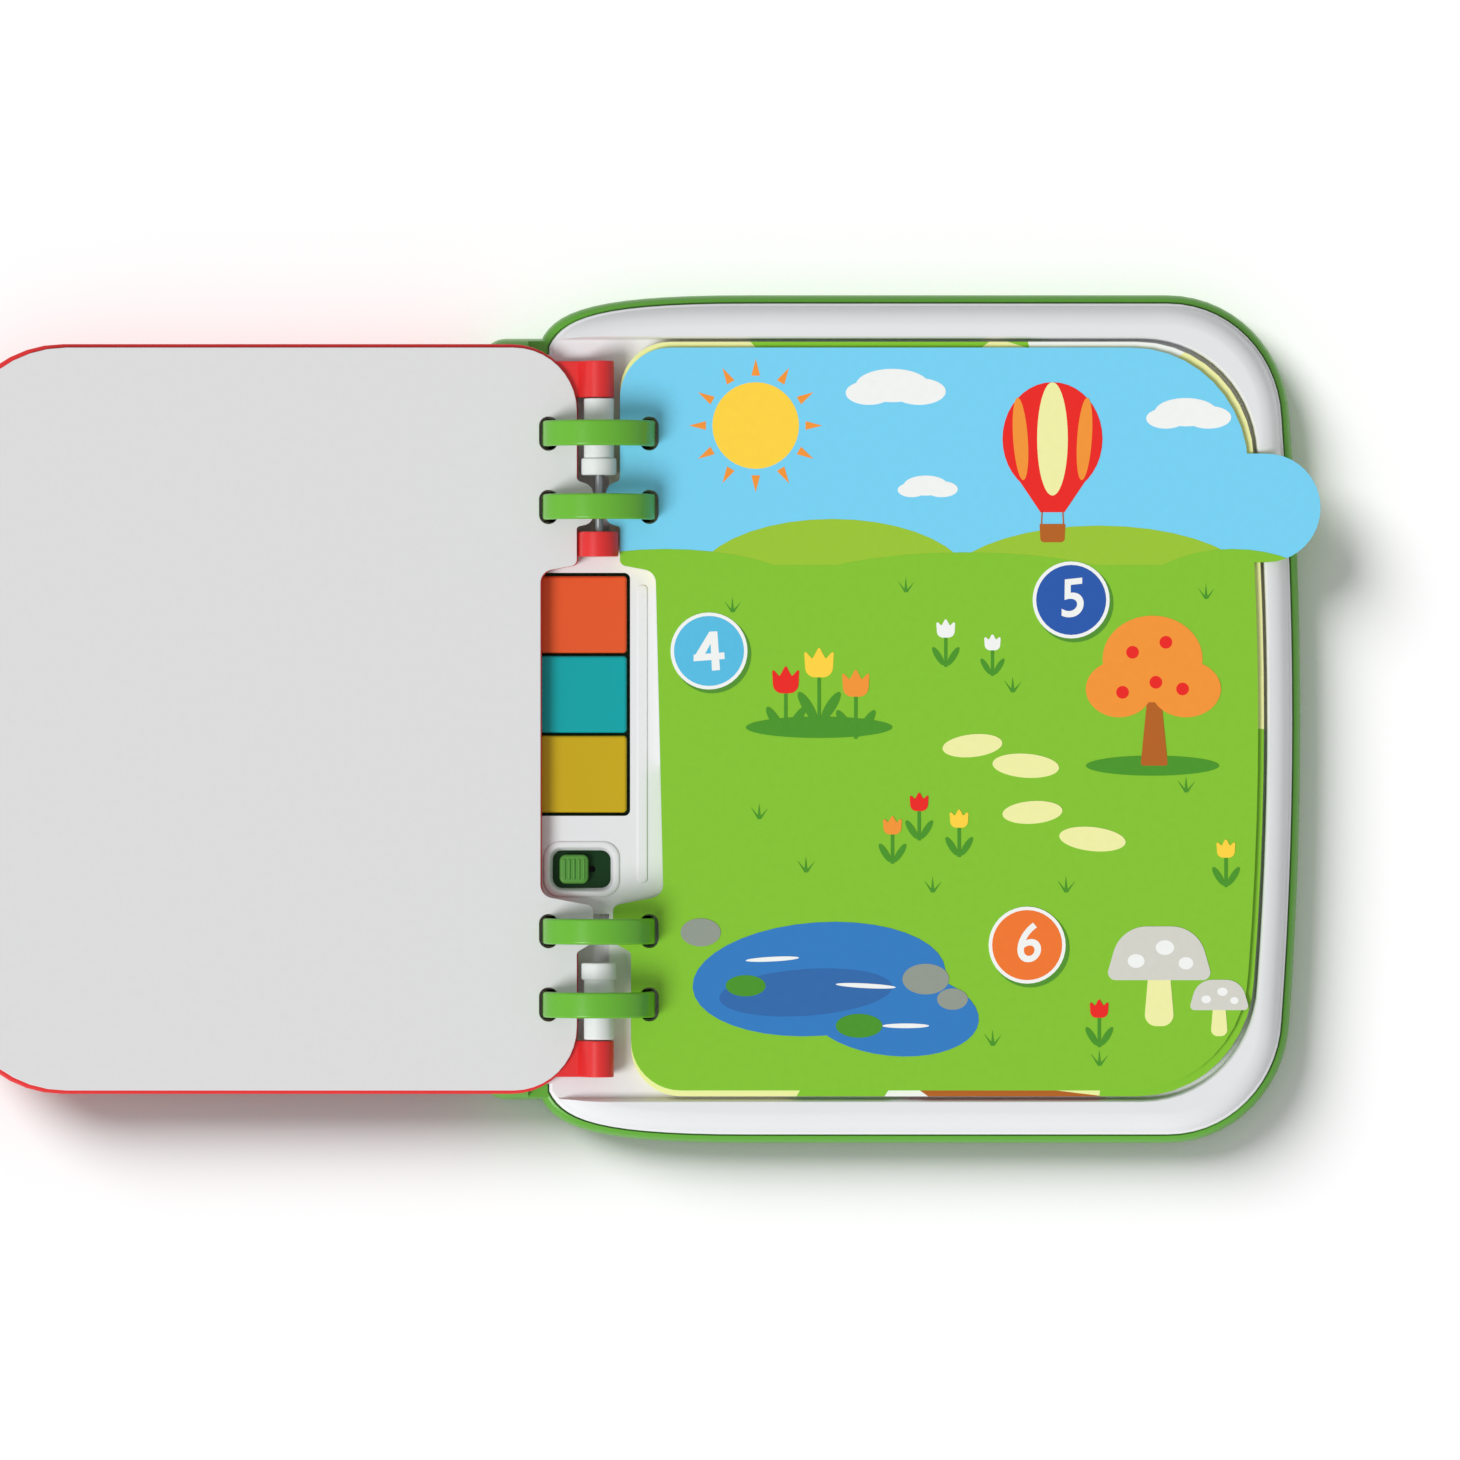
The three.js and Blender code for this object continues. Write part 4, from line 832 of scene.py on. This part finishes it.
tulips = (
    (56, 10, "red", 1.15), (66, 15, "yellow", 1.25), (77, 9, "orange", 1.15), (96, -26, "red", 0.8),
    (108, -31, "yellow", 0.8), (88, -33, "orange", 0.8), (150, -88, "red", 0.8),
    (188, -40, "yellow", 0.8), (104, 26, "white", 0.8), (118, 22, "white", 0.7))
for flower in tulips:
    tulip(*flower)
printed("cream", 4, [oval(112, -8, 9, 3.4, 6), oval(128, -14, 10, 3.6, -4), oval(130, -28, 9, 3.4, 4),
                     oval(148, -36, 10, 3.6, -6)])
printed("water", 4, [oval(66, -78, 38, 17, 4), oval(88, -88, 26, 13, -6)])
printed("deep_water", 5, [oval(62, -82, 26, 7, 4)])
printed("white", 6, [oval(52, -72, 8, 0.7, 3), oval(80, -80, 9, 0.7, -3), oval(92, -92, 7, 0.7)])
printed("tuft", 6, [oval(44, -80, 6, 3.2), oval(78, -92, 7, 3.6)])
printed("stone", 6, [oval(98, -78, 7, 4.6), oval(30.5, -64, 6, 4.2), oval(106, -84, 4.6, 3.2)])


def mushroom(x, y, s):
    """A pale toadstool with a dotted cap, s times the common size."""
    printed("cream", 5, [rounded([
        (x - 4 * s, y - 14 * s, 3 * s), (x + 4 * s, y - 14 * s, 3 * s),
        (x + 2.8 * s, y, 0.8), (x - 2.8 * s, y, 0.8)])])
    printed("pale", 6, [rounded([
        (x - 14 * s, y - 2 * s, 2 * s), (x + 14 * s, y - 2 * s, 2 * s),
        (x + 10 * s, y + 12 * s, 9 * s), (x - 10 * s, y + 12 * s, 9 * s)])])
    printed("white", 7, [
        oval(x - 6 * s, y + 3 * s, 2.2 * s, 1.8 * s),
        oval(x + 1.5 * s, y + 6.5 * s, 2.4 * s, 1.9 * s),
        oval(x + 7 * s, y + 2.4 * s, 1.9 * s, 1.6 * s)])


mushroom(168, -76, 1.15)
mushroom(186, -86, 0.65)
tufts = ((40, 32), (92, 38), (124, 8), (62, -46), (140, -52), (118, -98), (150, -104), (176, -22),
         (48, -30), (182, 36), (100, -52))
for x, y in tufts:
    printed("tuft", 4, [straight((x - 0.4, y), (x - 2.4, y + 3.4), (x + 0.5, y)),
                        straight((x - 0.5, y), (x, y + 4.6), (x + 0.6, y)),
                        straight((x - 0.4, y), (x + 2.6, y + 3.2), (x + 0.6, y))])


def disc(x, y, ink):
    """A coloured disc with a white rim, on its printed shadow."""
    printed("shade", 8, [oval(x + 0.9, y - 1.0, 11.7, 11.7)])
    printed("white", 9, [oval(x, y, 11.55, 11.55)])
    printed(ink, 10, [oval(x, y, 10.5, 10.5)])


def figure(x, y, digit):
    """A plain white number in the common typeface, leaning a little."""
    letter = bpy.data.curves.new("digit", "FONT")
    letter.body = digit
    letter.size = 16
    letter.align_x = "CENTER"
    letter.align_y = "CENTER"
    letter.offset = 0.2
    letter.shear = 0.12
    letter.extrude = ink_step
    holder = bpy.data.objects.new("digit", letter)
    bpy.context.scene.collection.objects.link(holder)
    bpy.context.view_layer.update()
    mesh = bpy.data.meshes.new_from_object(holder.evaluated_get(bpy.context.evaluated_depsgraph_get()))
    bpy.data.objects.remove(holder)
    place = Matrix.Translation((x, y, leaf_high + 10 * ink_step))
    mesh.transform(place @ Matrix.Rotation(math.radians(6), 4, "Z"))
    finish("number_" + digit, mesh, [inks["white"]], "base")


def figure_four(x, y):
    """The number 4, drawn as three white bars."""
    printed("white", 11, [
        straight((x + 0.9, y - 5.9), (x + 3.3, y - 5.7), (x + 2.5, y + 5.9), (x + 0.3, y + 5.8)),
        straight((x - 4.6, y - 2.0), (x - 1.7, y - 1.8), (x + 2.5, y + 5.9), (x + 0.1, y + 5.8)),
        straight((x - 4.6, y - 3.1), (x + 4.7, y - 2.4), (x + 4.6, y - 0.4), (x - 4.6, y - 1.1))])


disc(33.0, 20.4, "blue_disc")
figure_four(33.0, 20.4)
disc(141.6, 35.7, "dark_disc")
figure(141.6, 35.7, "5")
disc(128.4, -67.8, "orange_disc")
figure(128.4, -67.8, "6")


# Binding rings
# Four flat hoops of glossy green polypropylene, each snapped shut through the holes of all the leaves.
# Each passes down through slots in the tray and its trough, into the housing.
hoop_outer, hoop_inner, hoop_width, hoop_edge = 16.85, 14.5, 7.7, 0.75
ring_pp = moulded("green_gloss_polypropylene", "#63b02c", 0.24, 1.2, 0.003)
for i, y in enumerate(ring_rows):
    hoop = hoop_mesh(y, hoop_outer, hoop_inner, hoop_width, hoop_edge)
    finish("hoop_%d" % (i + 1), hoop, [ring_pp], "base", ["ring_%d" % (i + 1)], smooth=40)


# Sound keys
# Three ABS caps in orange, teal and yellow, hollow below, each with a plunger onto its rubber dome.
# A flange under the panel keeps each cap from lifting out.
cap_height, cap_middle, cap_corner, cap_edge, cap_wall, cap_hollow = 3.6, 16.3, 1.1, 0.85, 2.0, 1.8
plunger_radius, plunger_low, plunger_high = 2.2, 13.4, 17.1
flange_low, flange_high = 14.5, 15.5
key_middle_x = (key_left + key_right) / 2
key_colours = {"orange": "#df5626", "teal": "#009fa3", "yellow": "#c4a512"}
for row, (name, colour) in enumerate(key_colours.items()):
    high = key_top_y - row * (key_height + key_gap)
    low = high - key_height
    middle = (low + high) / 2
    bm = bmesh.new()
    bmesh.ops.create_cube(bm, size=1)
    bmesh.ops.scale(bm, vec=(key_right - key_left, key_height, cap_height), verts=bm.verts)
    bmesh.ops.translate(bm, vec=(key_middle_x, middle, cap_middle), verts=bm.verts)
    upright = [e for e in bm.edges if abs(e.verts[0].co.z - e.verts[1].co.z) > 1]
    bmesh.ops.bevel(bm, geom=upright, offset=cap_corner, segments=5, affect="EDGES", profile=0.5,
                    material=-1)
    top = [f for f in bm.faces if f.normal.z > 0.9][0]
    bmesh.ops.bevel(bm, geom=top.edges[:], offset=cap_edge, segments=5, affect="EDGES", profile=0.5,
                    material=-1)
    foot = [f for f in bm.faces if f.normal.z < -0.9]
    bmesh.ops.inset_region(bm, faces=foot, thickness=cap_wall, use_even_offset=True)
    bmesh.ops.inset_region(bm, faces=foot, thickness=0.05, depth=-cap_hollow, use_even_offset=True)
    cap = bpy.data.meshes.new("cap")
    bm.to_mesh(cap)
    bm.free()
    plunger = rod_mesh(plunger_radius, plunger_low, plunger_high, (key_middle_x, middle), edge=0.3,
                       segments=32)
    flange = box_mesh(key_left - 2, key_left + 1, middle - 6, middle + 6, flange_low, flange_high, 0.15)
    plastic = moulded(name + "_satin_abs", colour, 0.36, 0.6, 0.015, shine=0.2)
    finish("cap_" + name, merged([cap, plunger, flange]), [plastic], name + "_key", ["key_" + name])


# Slide switch
# A green ribbed thumb of ABS that slides over a dark green plate; its stem moves the switch below.
# The ribs run across the way it slides, so that a finger grips them.
thumb_x, thumb_y, thumb_half = -7.55, -45.1, 4.35
rib_pitch, rib_radius, rib_half, rib_z = 1.45, 0.48, 3.1, 18.12
thumb_loop = rectangle(thumb_x - thumb_half, thumb_x + thumb_half, thumb_y - thumb_half,
                       thumb_y + thumb_half, 1.9)
thumb = [climbed(thumb_loop, 15.8, [(0.0, 17.4), (0.15, 17.8), (0.5, 18.1), (0.9, 18.2)])]
for i in range(5):
    x = thumb_x + (i - 2) * rib_pitch
    thumb.append(rod_mesh(rib_radius, thumb_y - rib_half, thumb_y + rib_half, (x, rib_z), True, 0.3, 16))
thumb.append(box_mesh(thumb_x - 1, thumb_x + 1, thumb_y - 0.6, thumb_y + 0.6, 12.9, 16.3))
thumb_green = moulded("green_satin_abs", "#519137", 0.4, 0.5, 0.02)
finish("ribbed_thumb", merged(thumb), [thumb_green], "slider", ["switch_thumb"])


# Inner and underside pieces
# Metal, rubber and electronics that come from suppliers; most show only from below or in the gaps.
# Each keeps the frame's own shape and gets the finish of the real thing.


def rolled_metal(name, colour, roughness, grain):
    """Bare or plated metal: fine drawn streaks (spacing in mm) that spread its shine."""
    material = bpy.data.materials.new(name)
    material.use_nodes = True
    tree = material.node_tree
    surface = tree.nodes["Principled BSDF"]
    surface.inputs["Metallic"].default_value = 1.0
    place = add_node(tree, "ShaderNodeTexCoord").outputs["Object"]
    across = 1 / (grain * mm)
    lines = add_node(tree, "ShaderNodeMapping", {"Scale": (across, 60, across)}, {"Vector": place})
    streak = add_node(tree, "ShaderNodeTexNoise", {"Scale": 1.0, "Detail": 3.0},
                      {"Vector": lines.outputs[0]})
    base = linear(colour)
    tint = add_node(tree, "ShaderNodeMix", {"data_type": "RGBA"}, {0: streak.outputs[0]})
    tint.inputs[6].default_value = tuple(c * 0.86 for c in base[:3]) + (1,)
    tint.inputs[7].default_value = base
    rough = add_node(tree, "ShaderNodeMapRange", {"To Min": roughness - 0.08, "To Max": roughness + 0.1},
                     {"Value": streak.outputs[0]})
    tree.links.new(tint.outputs[2], surface.inputs["Base Color"])
    tree.links.new(rough.outputs[0], surface.inputs["Roughness"])
    return material


def dress(material, *names):
    """Gives carried-over pieces of the frame their finish."""
    for name in names:
        nodes[name].data.materials.clear()
        nodes[name].data.materials.append(material)


dress(moulded("dark_green_abs", "#0d3013", 0.5, 0.4, 0.02, 0.03, 0.1), "switch_plate")
dress(rolled_metal("drawn_steel_wire", "#85878b", 0.42, 0.3), "hinge_pin_top", "hinge_pin_bottom")
dress(rolled_metal("nickel_plated_spring_steel", "#cfcdc6", 0.28, 0.4), "battery_contact_left",
      "battery_contact_right")
dress(rolled_metal("zinc_plated_steel", "#9a9da3", 0.38, 0.25), "battery_door_screw",
      *["housing_screw_%d" % (i + 1) for i in range(6)])
# The switch body is nylon, but it is made black so that what shows of it through the thumb's slot reads as
# shade: the dark colour is painted shade for that gap.
dress(moulded("black_nylon_as_slot_shade", "#161816", 0.55, 0.4, 0.02, 0.03, 0.2), "switch_body")
dress(moulded("carbon_rubber", "#2b2b2c", 0.75, 0.3, 0.03),
      *["key_dome_" + name for name in key_colours])
dress(moulded("solder_mask_on_glass_epoxy", "#2f6b3a", 0.45, 0.9, 0.03, 0.1), "circuit_board")
dress(moulded("black_epoxy_drop", "#161617", 0.25, 1.5, 0.03), "sound_chip")
dress(moulded("black_speaker_cone", "#1b1b1c", 0.7, 0.8, 0.05), "speaker")
dress(moulded("amber_polyester_film", "#c9b46a", 0.3, 2.0, 0.01), "touch_membrane")
dress(moulded("shrink_sleeve_on_cell", "#3a4048", 0.35, 1.2, 0.02), "battery_1", "battery_2", "battery_3")
dress(green_abs, "battery_door")
